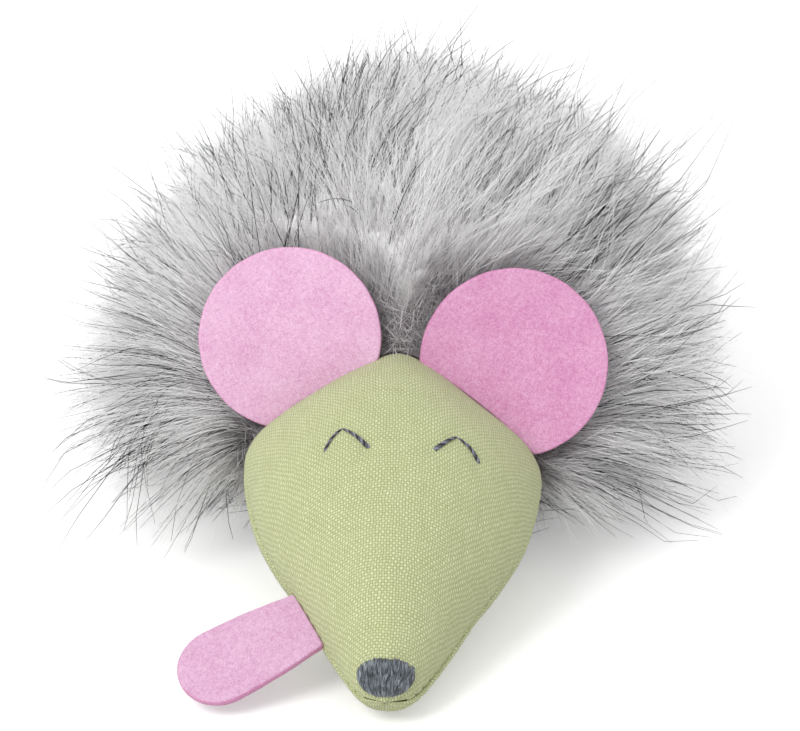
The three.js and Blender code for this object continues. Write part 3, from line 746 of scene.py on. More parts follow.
def rolled_edges(cloth):
    """Adds the turned-in edges: along both side seams, shallower where the head is narrow
    at its tip, and round the neck. Each step goes out and down, in mm."""
    normal = normals_of(cloth)
    width = np.linalg.norm(cloth[:, 0] - cloth[:, -1], axis=-1, keepdims=True)
    fade = np.clip(width / (30 * mm), 0.04, 1)
    inner = []
    for column, neighbour in ((0, 1), (-1, -2)):
        outward = unit(cloth[:, column] - cloth[:, neighbour])
        inner.append([cloth[:, column] + (outward * a - normal[:, column] * b) * fade * mm
                      for a, b in ((0.3, 0.12), (0.5, 0.5), (0.52, 1.5))])
    cloth = np.stack([*inner[0][::-1], *np.moveaxis(cloth, 1, 0), *inner[1]], axis=1)
    normal = normals_of(cloth)[0]
    rim = [cloth[0] + np.array([0, a, 0]) * mm - normal * b * mm
           for a, b in ((0.45, 1.3), (0.35, 0.5), (0.15, 0.12))]
    return np.concatenate([np.stack(rim), cloth])


# %% The two panels
def cloth_map(cloth):
    """Measured coordinates over the cloth: how far round from its middle, how far along"""
    half = cloth.shape[1] // 2
    across = steps(cloth, 1).cumsum(1)
    across -= across[:, half][:, None]
    along = steps(cloth[:, half], 0).cumsum()
    return np.stack([across, np.broadcast_to(along[:, None], across.shape)], axis=-1)


def thicken(piece, thickness, material):
    wall = piece.modifiers.new("cloth_thickness", "SOLIDIFY")
    wall.thickness, wall.offset = thickness, -1
    piece.data.materials.append(material)


def head_panel(name, cloth, node):
    cloth = rolled_edges(cloth)
    piece = mesh_piece(name, cloth, grid_faces(*cloth.shape[:2]), {"Cloth": cloth_map(cloth)})
    thicken(piece, 0.6 * mm, green_canvas)
    dressed(piece, "green_canvas", node, 0.9)


top_turns, top_cloth = head_grid(-quarter + 1e-6, quarter - 1e-6, 150)
top_cloth = pressed(top_turns, top_cloth, dents, 1.0)
top_normals = normals_of(top_cloth)
head_panel("head_top_canvas", top_cloth, "head_top_panel")
chin_turns, chin_cloth = head_grid(3 * quarter - 1e-6, quarter + 1e-6, 100)
head_panel("head_chin_canvas", pressed(-chin_turns, chin_cloth, [], 7.0), "head_chin_panel")


def on_head(degrees, share, off=0.0):
    """A point that stands a little off the top panel"""
    out = unit(place_on(top_turns, top_normals, degrees, share))
    return place_on(top_turns, top_cloth, degrees, share) + out * off

# %% [markdown]
# ## A tree that makes twisted thread
# Eyes, nose and seams are all thread that follows a path. One tree serves them: it takes
# paths as bare edges, resamples them, winds each ply round the path on the path's own
# normal, and sweeps a small circle along it. Its sizes are inputs, so the same tree makes
# thick eye thread and fine seam thread.

# %% The thread tree
def new_tree(name, sizes):
    """A Geometry Nodes tree with a geometry in and out, and named inputs for its sizes"""
    group = bpy.data.node_groups.new(name, "GeometryNodeTree")
    for way in ("INPUT", "OUTPUT"):
        group.interface.new_socket("Geometry", in_out=way, socket_type="NodeSocketGeometry")
    for size, kind in sizes.items():
        group.interface.new_socket(size, in_out="INPUT", socket_type="NodeSocket" + kind)
    entry, leave = group.nodes.new("NodeGroupInput"), group.nodes.new("NodeGroupOutput")
    given = {s.name: Value(group, s) for s in entry.outputs if s.name}
    return group, given, leave


def end_tree(given, leave, geometry):
    """Every tree ends in plain geometry with its material"""
    start = given["Geometry"]
    solid = start.node("GeometryNodeRealizeInstances", {}, {"Geometry": geometry})
    solid = start.node("GeometryNodeSetShadeSmooth", {}, {"Geometry": solid})
    solid = start.node("GeometryNodeSetMaterial", {},
                       {"Geometry": solid, "Material": given["Material"]})
    start.tree.links.new(solid.socket, leave.inputs[0])


def stored(geometry, name, value, kind="FLOAT", domain="POINT"):
    return geometry.node("GeometryNodeStoreNamedAttribute",
                         {"data_type": kind, "domain": domain},
                         {"Geometry": geometry, "Name": name, "Value": value})


def named(start, name, kind="FLOAT"):
    return start.node("GeometryNodeInputNamedAttribute", {"data_type": kind}, {"Name": name})


def swept(curve, radius, sides, map_name, round_value, along_value):
    """Sweeps a small ring along curves and writes the map that a material can follow"""
    ring = curve.node("GeometryNodeCurvePrimitiveCircle", {"mode": "RADIUS"},
                      {"Resolution": sides, "Radius": 1.0})
    ring = stored(ring, "around", ring.node("GeometryNodeInputIndex") * (1.0 / sides))
    tube = curve.node("GeometryNodeCurveToMesh", {}, {
        "Curve": curve, "Profile Curve": ring, "Scale": radius, "Fill Caps": True})
    flat = curve.joined(round_value(named(curve, "around")), along_value, 0.0)
    return stored(tube, map_name, flat, "FLOAT2", "CORNER")


# %% Three plies
plies = 3
thread_tree, given, leave = new_tree("twisted_thread", {
    "Ply Radius": "Float", "Twist Radius": "Float", "Turn Length": "Float",
    "Step": "Float", "Material": "Material"})
start = given["Geometry"]
path = start.node("GeometryNodeMeshToCurve", {}, {"Mesh": start})
path = start.node("GeometryNodeResampleCurve", {"mode": "LENGTH"},
                  {"Curve": path, "Length": given["Step"]})
strands = start.node("GeometryNodeJoinGeometry")
for ply in range(plies):
    run = start.node("GeometryNodeSplineParameter", out="Length")
    angle = run / given["Turn Length"] * (2 * math.pi) + ply * 2 * math.pi / plies
    normal = start.node("GeometryNodeInputNormal")
    side = start.math("CROSS_PRODUCT", start.node("GeometryNodeInputTangent"), normal)
    swing = normal * start.math("COSINE", angle) + side * start.math("SINE", angle)
    full = named(start, "fullness")
    wound = start.node("GeometryNodeSetPosition", {},
                       {"Geometry": path, "Offset": swing * (given["Twist Radius"] * full)})
    wound = stored(wound, "run", run * 1000.0)
    tube = swept(wound, given["Ply Radius"] * full, 6, "Thread",
                 lambda around, ply=ply: around + ply * ply_step, named(start, "run"))
    start.tree.links.new(tube.socket, strands.socket.node.inputs[0])
end_tree(given, leave, strands)
print(thread_tree.name, "nodes:", len(thread_tree.nodes))


# %% Growing a tree's result
def grown(name, source, group, inputs):
    """Runs a tree on a source object and keeps the result as a plain mesh object"""
    modifier = source.modifiers.new(group.name, "NODES")
    modifier.node_group = group
    for item in group.interface.items_tree:
        if item.item_type == "SOCKET" and item.in_out == "INPUT" and item.name in inputs:
            modifier[item.identifier] = inputs[item.name]
    depsgraph = bpy.context.evaluated_depsgraph_get()
    mesh = bpy.data.meshes.new_from_object(
        source.evaluated_get(depsgraph), preserve_all_data_layers=True, depsgraph=depsgraph)
    source.modifiers.remove(modifier)
    mesh.name = name
    for attribute in [a.name for a in mesh.attributes
                      if a.domain == "POINT" and a.name != "position"]:
        mesh.attributes.remove(mesh.attributes[attribute])
    return placed(name, mesh)


def threads(name, paths, sizes, step, material, slot, node, fullness=None):
    """Thread along each path: its ply's radius, how wide and in what length it twists"""
    mesh = bpy.data.meshes.new("paths")
    points = np.concatenate(paths)
    starts = np.cumsum([0] + [len(path) for path in paths])
    edges = [(k, k + 1) for a, b in zip(starts, starts[1:]) for k in range(a, b - 1)]
    mesh.from_pydata(points.tolist(), edges, [])
    keep(mesh, "fullness", np.ones(len(points)) if fullness is None
         else np.concatenate(fullness))
    source = placed("paths", mesh)
    measures = zip(("Ply Radius", "Twist Radius", "Turn Length"), sizes)
    piece = grown(name, source, thread_tree, {**dict(measures), "Step": step,
                                              "Material": material})
    bpy.data.objects.remove(source)
    dressed(piece, slot, node)

# %% [markdown]
# ## The eyes
# Each eye is a closed, smiling one: a chevron of two long stitches. A stitch comes up
# through the cloth at one end and goes down at the other, so its path dips under the
# canvas at both ends and stands off it between. The thread is fuller at the outer ends,
# where several strands share one hole.

# %% Eye stitches
def hump(count, steep, edge=0.03):
    """How high a stitch stands along its way: it rises at once and then runs level"""
    return np.sin(np.linspace(edge, math.pi - edge, count)) ** steep


def stitch_path(start_mark, end_mark, high, low, count=16):
    marks = np.linspace(start_mark, end_mark, count)
    rise = low + (high - low) * hump(count, 0.4, 0.02)
    return np.array([on_head(*mark, r) for mark, r in zip(marks, rise)])


eye_line = (0.2 * mm, 0.22 * mm, 2.6 * mm)
# How much fuller than at the peak the thread is at the inner and the outer end
eye_swells = {"left": (1.1, 0.7), "right": (1.0, 0.25)}
for side, (inner, peak, outer) in eye_marks.items():
    paths = [stitch_path(*ends, 0.42 * mm, -0.5 * mm) for ends in ((inner, peak), (peak, outer))]
    near, far = eye_swells[side]
    swells = [0.75 + near * np.linspace(1, 0, 16) ** 1.3,
              0.75 + far * np.linspace(0, 1, 16) ** 1.3]
    threads(f"{side}_eye_stitches", paths, eye_line, 0.2 * mm, eye_thread, "slate_thread",
            f"{side}_eye_embroidery", swells)

# %% [markdown]
# ## The nose
# Satin stitch is a row of long stitches laid side by side over a little padding, all in
# one direction. The padding is a low dome on the cloth; the stitches go over it from its
# upper edge to its lower edge, and a few stray ones cross on top, as hand work shows.

# %% The nose's padding and stitches
nose_degrees, nose_share = -4, 0.9
nose_half_width, nose_half_length = 6.8 * mm, 4.8 * mm
nose_centre = on_head(nose_degrees, nose_share)
step_across = np.linalg.norm(on_head(nose_degrees + 3, nose_share) - nose_centre) / 3
step_along = np.linalg.norm(on_head(nose_degrees, nose_share + 0.01) - nose_centre) / 0.01
squareness = 3.4  # of the patch's outline: 2 is an oval, and more is a rounded oblong
rim_height, dome_height = 0.25, 1.05  # of the padding, in mm


def on_nose(across, along, off):
    """A point of the nose: across and along from -1 to 1 over its half sizes"""
    return on_head(nose_degrees + across * nose_half_width / step_across,
                   nose_share + along * nose_half_length / step_along, off)


def dome(across, along):
    edge = min(abs(across) ** squareness + abs(along) ** squareness, 1)
    return (rim_height + dome_height * math.sqrt(max(1 - 0.85 * edge, 0.05))) * mm


spokes, nose_rings = 48, 8
angles = np.linspace(0, 2 * math.pi, spokes, endpoint=False)
rounded = 1 / (np.abs(np.cos(angles)) ** squareness
               + np.abs(np.sin(angles)) ** squareness) ** (1 / squareness)
# Rings from the middle of the dome to its edge, and two that close it under the cloth
profile = [(r / nose_rings, True) for r in range(nose_rings + 1)] + [(1.0, False), (0.0, False)]
padding_points = [
    [on_nose(r * s * math.cos(a) * 0.96, r * s * math.sin(a) * 0.96,
             dome(r * s * math.cos(a), r * s * math.sin(a)) - 0.15 * mm if high else -0.3 * mm)
     for a, s in zip(angles, rounded)] for r, high in profile]
padding = mesh_piece("nose_padding", padding_points, grid_faces(len(profile), spokes, wrap=True),
                     {"Thread": np.zeros((len(profile), spokes, 2))}, merge=1e-6)
padding.data.materials.append(slate_thread)
dressed(padding, "slate_thread")

# %% Satin stitches
rng = np.random.default_rng(11)
satin, rise = [], hump(14, 0.3)
for across in np.linspace(-0.97, 0.97, 28):
    end = (1 - 0.97 * abs(across) ** squareness) ** (1 / squareness) * 1.04
    lean = rng.normal(0, 0.025)
    run = np.linspace(-end + rng.normal(0, 0.03), end + rng.normal(0, 0.03), len(rise))
    satin.append(np.array([
        on_nose(across + lean * a, a, -0.25 * mm + (dome(across, a) + 0.2 * mm) * b
                + rng.normal(0, 0.015) * mm) for a, b in zip(run, rise)]))
for _ in range(9):
    across = rng.uniform(-0.7, 0.7)
    slant = rng.normal(0, 0.12)
    end = (1 - abs(across) ** squareness) ** (1 / squareness)
    satin.append(np.array([
        on_nose(across + slant * a, a, -0.2 * mm + (dome(across, a) + 0.42 * mm) * b)
        for a, b in zip(np.linspace(-end, end, len(rise)), rise)]))
threads("nose_satin_stitches", satin, (0.2 * mm, 0.14 * mm, 5.0 * mm), 0.5 * mm, slate_thread,
        "slate_thread", "nose_embroidery")

# %% [markdown]
# ## Seam stitches
# The seams are machine-sewn: short stitches of green thread at the bottom of a groove.
# Each seam is a list of short paths, one for each stitch, for the same thread tree. The
# belly's closing seam is sewn by hand, so its stitches are longer and slant across.

# %% The seams
def sewn(name, seams, length, gap, step, node):
    """Cuts each seam's line into stitches with gaps between them"""
    found = []
    for points in seams:
        run, at = steps(points, 0).cumsum(), 0.0
        while at + length < run[-1]:
            places = np.linspace(at, at + length, 6)
            stitch = [np.interp(places, run, points[:, k]) for k in range(3)]
            found.append(np.stack(stitch, axis=1))
            at += length + gap
    threads(name, found, (0.17 * mm, 0.15 * mm, 1.4 * mm), step, green_thread, "green_thread",
            node)


seam_places = np.linspace(0.012, 0.935, 160)
sewn("cheek_seam_stitches",
     [outline(rows_at(head_rows, seam_places), side * quarter, -0.75 * mm)
      + tip_lift(seam_places) for side in (1, -1)],
     2.3 * mm, 0.5 * mm, 0.45 * mm, "cheek_seam_thread")
seam_start = 0.06  # radians from the middle of the chin, where the neck's sewing begins
neck_turns = np.linspace(math.pi + seam_start, 3 * math.pi - seam_start, 300)
behind_neck = np.array([0, seam_gap / 2, 0])
sewn("neck_seam_stitches",
     [outline(head_rows[0], neck_turns, -0.9 * mm, blunt=crown_blunt) + behind_neck],
     2.3 * mm, 0.5 * mm, 0.45 * mm, "neck_seam_thread")
side_places = np.linspace(0.01, 0.99, 200)
sewn("body_seam_stitches",
     [outline(body_at(side_places, 0.5 * mm), side * quarter, -0.5 * mm) for side in (1, -1)],
     2.6 * mm, 0.6 * mm, 0.5 * mm, "body_seam_thread")

# %% The hand-sewn seam
low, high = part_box("closing_seam_thread")
closing_x, closing_z = (low.x + high.x) / 2, (low.z + high.z) / 2
closing_paths = [
    np.array([[closing_x + (s - 0.5) * 2.4 * mm, y + (s - 0.5) * 1.6 * mm,
               closing_z - 0.7 * mm * math.sin(math.pi * s) ** 0.6]
              for s in np.linspace(0, 1, 8)])
    for y in np.arange(low.y + 2 * mm, high.y - 2 * mm, 3.2 * mm)]
threads("closing_seam_stitches", closing_paths, (0.2 * mm, 0.17 * mm, 1.6 * mm), 0.5 * mm,
        green_thread, "green_thread", "closing_seam_thread")

# %% [markdown]
# ## Where the ears stand
# The ears stand in the notch behind the neck seam. Their sewn edge is a straight fold
# line, the hinge, but the felt runs on below it down to the curve of the seam, so no gap
# shows at its corners. They cup forward a little at their sides, as cut felt does. We work
# their places out before any hair grows, because no hair may pass through them.

# %% Where the ears stand
# Of each ear: from and to what angle it is sewn in, its radius, its middle above the hinge
ear_shapes = {"left": (18, 88, 24.6 * mm, 12 * mm), "right": (13, 79, 23.7 * mm, 13.7 * mm)}
ear_lean = math.radians(27)
fold_back = math.tan(math.radians(12))  # as far back as an ear's joint lets it lean
ears = {}
for side, (from_degrees, to_degrees, radius, centre_rise) in ear_shapes.items():
    sign = 1 if side == "left" else -1
    neck_bow, coarse = (
        outline(head_rows[0], np.radians(np.linspace(from_degrees, to_degrees, count)) * sign)
        for count in (41, 13))
    neck_bow = neck_bow + behind_neck
    chord = unit(neck_bow[-1] - neck_bow[0])
    facing = np.array([0, -math.cos(ear_lean), math.sin(ear_lean)])
    facing = unit(facing - chord * (facing @ chord))
    out, along = np.cross(facing, chord) * sign, chord * sign
    heights = (neck_bow - neck_bow[0]) @ out
    # The frame measures the bow at 12 steps, so its highest one is used here too
    rise = ((coarse - coarse[0]) @ out).max() + felt_thickness / 2 + ear_seat_gap
    middle = (neck_bow[0] + neck_bow[-1]) / 2
    across = (neck_bow - middle) @ along
    order = np.argsort(across)

    def inside(x, y, across=across[order], bottom=(heights - rise)[order], radius=radius,
               centre_rise=centre_rise):
        in_disc = x**2 + (y - centre_rise) ** 2 <= radius**2
        return in_disc & (y >= np.interp(x, across, bottom) - 0.2 * mm)

    def curl(x, y, radius=radius):
        return 1.7 * mm * (x / radius) ** 2 + 0.5 * mm * np.sin(y / (11 * mm) + x / (17 * mm))

    ears[side] = {"along": along, "out": out, "face": np.cross(along, out),
                  "root": middle + out * rise, "radius": radius, "rise": centre_rise,
                  "inside": inside, "curl": curl}
    print(side, "ear hinge at, mm:", np.round(ears[side]["root"] / mm, 2))

# %% [markdown]
# ## A tree that grows hair
# Long pile, guard hairs and the fuzz on felt are the same thing at different sizes: a
# fibre that leaves a surface, arches over and ends at a tip. The surface carries the comb,
# as two directions stored on its points: arch, towards the middle of the fibre's bend, and
# reach, to its tip. The tree scatters roots, reads the comb there, gathers neighbours into
# locks by pulling them to a nearest guide, waves them, bends them back behind the ears,
# and stops them at the floor.

# %% The hair tree
sizes = ("Density", "Lock Density", "Radius", "Tip Share", "Shortest", "Longest", "Stray",
         "Lock Stray", "Gather", "Wave", "Curl Scale", "Sway", "Sway Scale", "Floor",
         "Ceiling", "Widest", "Free Root")
hair_tree, given, leave = new_tree("combed_hair", {
    **dict.fromkeys(sizes, "Float"), "Seed": "Int", "Points": "Int", "Material": "Material"})
start = given["Geometry"]


def scattered(density, seed):
    return start.node("GeometryNodeDistributePointsOnFaces", {"distribute_method": "RANDOM"},
                      {"Mesh": start, "Density": density, "Seed": seed})


roots = scattered(given["Density"] * named(start, "cover"), given["Seed"])
guides = scattered(given["Lock Density"], given["Seed"] + 1)
here = start.node("GeometryNodeInputPosition")
nearest = start.node("GeometryNodeSampleNearest", {"domain": "POINT"},
                     {"Geometry": guides, "Sample Position": here})


# %% Roots and their chances
def of_guide(value):
    return start.node("GeometryNodeSampleIndex", {"data_type": "FLOAT_VECTOR",
                                                  "domain": "POINT"},
                      {"Geometry": guides, "Value": value, "Index": nearest})


def chance(low, high, seed, kind="FLOAT"):
    return start.node("FunctionNodeRandomValue", {"data_type": kind},
                      {"Min": low, "Max": high, "Seed": given["Seed"] + seed})


def any_way(seed):
    return chance((-1, -1, -1), (1, 1, 1), seed, "FLOAT_VECTOR")


def way(name):
    return named(start, name, "FLOAT_VECTOR")


for name, value in {"lock_root": of_guide(here), "lock_arch": of_guide(way("arch")),
                    "lock_reach": of_guide(way("reach")), "root": here,
                    "lock_wild": of_guide(any_way(7)), "wild": any_way(2)}.items():
    roots = stored(roots, name, value, "FLOAT_VECTOR")
for name, value in {"cut": chance(given["Shortest"], given["Longest"], 3),
                    "tone": chance(0.0, 1.0, 4), "gather": chance(0.35, 1.0, 5),
                    "rest": chance(0.0, 1.0, 6)}.items():
    roots = stored(roots, name, value)
# %% Bent fibres
fibre = start.node("GeometryNodeCurvePrimitiveLine", {"mode": "POINTS"}, {"End": (0, 0, 1)})
fibre = start.node("GeometryNodeResampleCurve", {"mode": "COUNT"},
                   {"Curve": fibre, "Count": given["Points"]})
fibre = stored(fibre, "along", start.node("GeometryNodeSplineParameter"))
fibres = start.node("GeometryNodeInstanceOnPoints", {}, {"Points": roots, "Instance": fibre})
fibres = start.node("GeometryNodeRealizeInstances", {}, {"Geometry": fibres})
along = named(start, "along")
t = along * named(start, "cut")


def bent(prefix):
    """Along a combed hair, from its root over its arch to its reach"""
    return (way(prefix + "root") + way(prefix + "arch") * (t * (1 - t) * 2)
            + way(prefix + "reach") * (t * t))


own, lock = bent(""), bent("lock_")
place = own + (lock - own) * (given["Gather"] * named(start, "gather") * t**1.2)
length = start.node("ShaderNodeVectorMath", {"operation": "LENGTH"}, {0: way("reach")},
                    out="Value")
place = place + (way("wild") * given["Stray"]
                 + way("lock_wild") * given["Lock Stray"]) * (length * t**1.5)
# Sway turns whole neighbourhoods of hair the same way
x, y, z = (way("root") * given["Sway Scale"]).parts()
sway = start.joined(*(start.math("SINE", v) for v in (y + z * 0.6, z * 1.2 + x * 0.7 + 2.0,
                                                      x + y * 0.6 + 4.0)))
place = place + sway * (length * t**1.4 * given["Sway"])
place = place + (place + way("wild") * 0.004).astray(given["Curl Scale"], 1) * (
    given["Wave"] * t)
# %% Room for the ears
# A hair that would pass through an ear is bent back behind it, and one that has points
# both behind the ear and in front of it beside its rim is left out
ear_clearance = 2.4 * mm
crossing = 0.0
for side, ear in ears.items():
    local = place - tuple(ear["root"] + ear["out"] * ear["rise"])
    a, b, c = (local.node("ShaderNodeVectorMath", {"operation": "DOT_PRODUCT"},
                          {0: local, 1: tuple(ear[k])}, out="Value")
               for k in ("along", "out", "face"))
    outside = start.math("SQRT", a * a + b * b) - ear["radius"]
    room = (b + ear["rise"]).at_least(0.0) * fold_back + ear_clearance
    ahead = (c + room).at_least(0.0) * (1 - outside.ramp(1 * mm, 4 * mm))
    bend = start.math("MINIMUM", t * 8, 1.0).at_least(given["Free Root"]) * ahead
    place = place - start.joined(*(bend * k for k in ear["face"]))
    hidden = start.math("LESS_THAN", outside, 0.0)
    in_front = (start.math("GREATER_THAN", c - bend, 2 * mm) * (1 - hidden)
                * start.math("LESS_THAN", outside, 8 * mm))
    fibres = stored(fibres, f"hidden_{side}", hidden)
    fibres = stored(fibres, f"in_front_{side}", in_front)
    crossing = named(start, f"hidden_{side}") * named(start, f"in_front_{side}") + crossing
fibres = start.node("GeometryNodeDeleteGeometry", {"domain": "CURVE", "mode": "ALL"}, {
    "Geometry": fibres, "Selection": start.math("GREATER_THAN", crossing, 0.001)})
# %% The widest hairs and the lowest
# Hairs that reach too far bend back, and those that would sink lie on the floor, some
# up to 4 mm above it
bend_back = 0.6
x, y, z = place.parts()
too_far = (start.math("ABSOLUTE", x) - given["Widest"]).at_least(0.0)
x = x - start.math("SIGN", x) * (too_far * bend_back)
z = z - (z - given["Ceiling"]).at_least(0.0) * bend_back
low = given["Floor"] + named(start, "rest") * t * 0.004
place = start.joined(x, y, z.at_least(low))
fibres = start.node("GeometryNodeSetPosition", {}, {"Geometry": fibres, "Position": place})
taper = 1 - (1 - given["Tip Share"]) * along**1.6
hairs = swept(fibres, given["Radius"] * taper, 3, "OFBake",
              lambda around: named(start, "tone") * 0.97 + around * 0.02, along)
end_tree(given, leave, hairs)
print(hair_tree.name, "nodes:", len(hair_tree.nodes))

# %% [markdown]
# ## Felt flaps
# Each ear is a disc of felt, cut where it meets the neck seam, and the tongue is a
# rounded strip sewn into the cheek. We describe a flap by a test of what lies inside its
# outline, find the edge along rays from a centre, and wrap a closed skin round it with a
# softly rounded cut edge. Its root follows the body and the rest follows its hinge, so the
# felt bends at the seam. A short fuzz of the same tree softens it.

# %% A flap of felt
def felt_flap(node, along, out, root, inside, centre, size, curl, flat):
    """The frame's node, the hinge's directions and place, a test of what is inside the
    outline, a middle and a size to search from it, the felt's curl, and its flat size, which
    is not used"""
    rays = 240
    angle = np.linspace(0, 2 * math.pi, rays, endpoint=False)
    reach = np.linspace(0, size, 3000)
    tests = inside(centre[0] + np.outer(np.cos(angle), reach),
                   centre[1] + np.outer(np.sin(angle), reach))
    edge = reach[np.where(tests.all(1), len(reach) - 1, (~tests).argmax(1) - 1)]
    edge = (np.roll(edge, 1) + edge * 2 + np.roll(edge, -1)) / 4
    edge = edge * (1 + 0.0015 * np.sin(angle * 17 + 2 * np.sin(angle * 3)))
    # Front face out to the rim, round the cut edge, and back in on the other face: the
    # share of the way out, mm beyond it, and the height as a share of half the thickness
    edge_round = 0.62
    inner = [(share, 0.0, 1.0) for share in np.linspace(0, 1, 26)]
    rim = [(1, 0.28, 0.93), (1, 0.5, 0.72), (1, 0.6, 0.35), (1, edge_round, 0), (1, 0.6, -0.35),
           (1, 0.5, -0.72), (1, 0.28, -0.93)]
    rows = np.array(inner + rim + [(s, o, -h) for s, o, h in inner[::-1]])
    share, off, high = rows.T[..., None]
    radius = share * (edge - edge_round * mm) + off * mm
    at_rim = (off > 0.45) + 0 * radius
    local = np.stack([centre[0] + np.cos(angle) * radius, centre[1] + np.sin(angle) * radius,
                      high * (felt_thickness / 2) + 0 * radius], axis=-1)
    flat_place = local.copy()
    dimple = lumps(local * [1, 1, 0], 5 * mm, 3) * 0.12 * mm
    local[..., 2] += dimple * np.sign(local[..., 2]) + curl(local[..., 0], local[..., 1])
    points = root + local @ np.stack([along, out, np.cross(along, out)])
    piece = mesh_piece(node + "_felt", points, grid_faces(len(rows), rays, wrap=True),
                       {"felt_place": flat_place, "rim": at_rim})
    material = lit_and_shaded_felts[node.removesuffix("_ear")]
    piece.data.materials.append(material)
    # Short fibres lie any way along the felt and stand a little off it
    normal = read(piece.data.vertices, "normal")
    slant = unit(np.cross(normal, np.random.default_rng(3).normal(size=normal.shape)))
    for key, values in (("arch", normal * 0.35 * mm), ("reach", slant * 0.8 * mm),
                        ("cover", np.ones(len(normal)))):
        keep(piece.data, key, values)
    fuzz = grown(node + "_felt_fuzz", piece, hair_tree, {
        "Density": 0.9e6, "Lock Density": 2e4, "Seed": 5, "Points": 3, "Radius": 0.022 * mm,
        "Tip Share": 0.4, "Shortest": 0.5, "Longest": 1.4, "Stray": 0.8, "Gather": 0.0,
        "Curl Scale": 70.0, "Floor": 0.1 * mm, "Ceiling": 1.0, "Widest": 1.0,
        "Material": material})
    for part in (piece, fuzz):
        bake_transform(part, "stuffed_body", node + "_flap", start=root - out * 1.5 * mm,
                 end=root + out * 4 * mm)
    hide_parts(node)
    area = 0.5 * math.sin(2 * math.pi / rays) * (edge * np.roll(edge, -1)).sum()
    print(piece.name, "triangles:", triangles(piece), "fuzz:", triangles(fuzz),
          "flat area, mm2:", round(area / mm**2))


# %% The ears
for side, ear in ears.items():
    felt_flap(f"{side}_ear", ear["along"], ear["out"], ear["root"], ear["inside"],
              (0.0, ear["rise"]), ear["radius"] * 1.02, ear["curl"],
              (2 * ear["radius"], ear["radius"] + ear["rise"] + 4 * mm))

# %% [markdown]
# The tongue comes out of the cheek seam on the toy's right and hangs a little. Its end is
# round, and it is slightly narrower where it is sewn in.

# %% The tongue
tongue_length, tongue_half, tongue_root_half = 33.5 * mm, 10.8 * mm, 8.8 * mm
tongue_from, tongue_to = 0.536, 0.677
droop, ahead = math.radians(15), math.radians(14)
sewn_in = 0.6 * mm
tongue_seam = outline(rows_at(head_rows, np.linspace(tongue_from, tongue_to, 11)), -quarter)
along = unit(tongue_seam[-1] - tongue_seam[0])
out = np.array([-math.cos(ahead) * math.cos(droop), -math.sin(ahead) * math.cos(droop),
                -math.sin(droop)])
out = unit(out - along * (out @ along))
rise = ((tongue_seam - tongue_seam[0]) @ out).max() + felt_thickness / 2 + touch_gap
tip_start = tongue_length - tongue_half
s = np.linspace(0, 1, 40)
edge_x = (1 - s) ** 2 * tongue_root_half + 2 * (1 - s) * s * tongue_half + s**2 * tongue_half
edge_y = 2 * (1 - s) * s * tip_start / 2 + s**2 * tip_start


def inside_tongue(x, y):
    in_tip = x**2 + (y - tip_start) ** 2 <= tongue_half**2
    in_strip = (y <= tip_start) & (np.abs(x) <= np.interp(y, edge_y, edge_x))
    return (in_tip | in_strip) & (y >= -rise - sewn_in)


def tongue_curl(x, y):
    return -0.5 * mm * (np.maximum(y, 0) / tongue_length) ** 2 - 0.4 * mm * (x / tongue_half) ** 2


felt_flap("tongue", -along, out, (tongue_seam[0] + tongue_seam[-1]) / 2 + out * rise,
          inside_tongue, (0.0, 15 * mm), 24 * mm, tongue_curl,
          (2 * tongue_half, tongue_length + rise + sewn_in))

# %% [markdown]
# ## Combing the fur
# The body's backing is a closed tube of knit that the fur stands on. On a grid over it we
# work out the comb: each hair's tip lies on the outer shape of the pile, and it leaves the
# backing along its normal. Hairs at the neck share the long pile's reach, so that their
# sides, dark at the root, show round the head. Where a hair would pass through an ear it
# is pushed back behind the felt, and where it would go under the floor it splays along it.

# %% The comb
turn_count, place_count = 121, 73
comb_turns = np.linspace(-math.pi, math.pi, turn_count)
comb_places = np.linspace(0, 0.985, place_count)
skin = outline(body_at(comb_places)[:, None], comb_turns[None], blunt=crown_blunt)
skin_normal = normals_of(skin)
# A hair at the neck ends a tenth of the way along the pile's outer shape
tip_places = 0.1 + 0.9 * comb_places[:, None] + 0 * comb_turns
reach = pile_outline(tip_places, comb_turns + 0 * tip_places) - skin
floor_rest, longest_hair = 1.2 * mm, 50 * mm
deep = np.maximum(floor_rest - (skin + reach)[..., 2], 0)
splay = unit(skin_normal * [1, 1, 0] + np.array([0, 0.35, 0]))
straight = norm(reach)
reach[..., 2] += deep
reach += splay * (deep * 0.8)[..., None]
length = norm(reach)
reach *= (np.minimum(np.minimum(straight, longest_hair), length)
          / np.maximum(length, 1e-9))[..., None]


def off_floor(ways):
    """Keeps the ends of these ways from each root clear of the floor"""
    ways[..., 2] = np.maximum(ways[..., 2], floor_rest - skin[..., 2])


# %% Fanning the hairs and bending them round the ears
# At the sides in front the hairs fan forward and droop, and under the chin they are short.
# On the toy's left they are a little longer there.
turn = np.degrees(comb_turns)[None]
from_crown = np.abs(turn)
in_front = smooth(1 - comb_places / 0.4)[:, None]
fan = smooth((from_crown - 55) / 30) * smooth((150 - from_crown) / 40) * in_front
fuller = 0.12 * smooth((turn - 55) / 25) * smooth((118 - turn) / 20) * in_front
under_chin = smooth((from_crown - 88) / 25) * smooth(1 - comb_places / 0.3)[:, None]
reach += np.linalg.norm(reach, axis=-1, keepdims=True) * fan[..., None] * [0, -0.35, -0.12]
reach *= (1 + fuller)[..., None]
reach *= (1 - 0.7 * under_chin)[..., None]
off_floor(reach)
arch = skin_normal * (norm(reach) * 0.42)[..., None]
off_floor(arch)


def along_hair(t):
    """Where each combed hair is, a share t of the way from its root to its tip"""
    t = np.asarray(t)[..., None]
    return skin + arch * (2 * t * (1 - t)) + reach * t * t


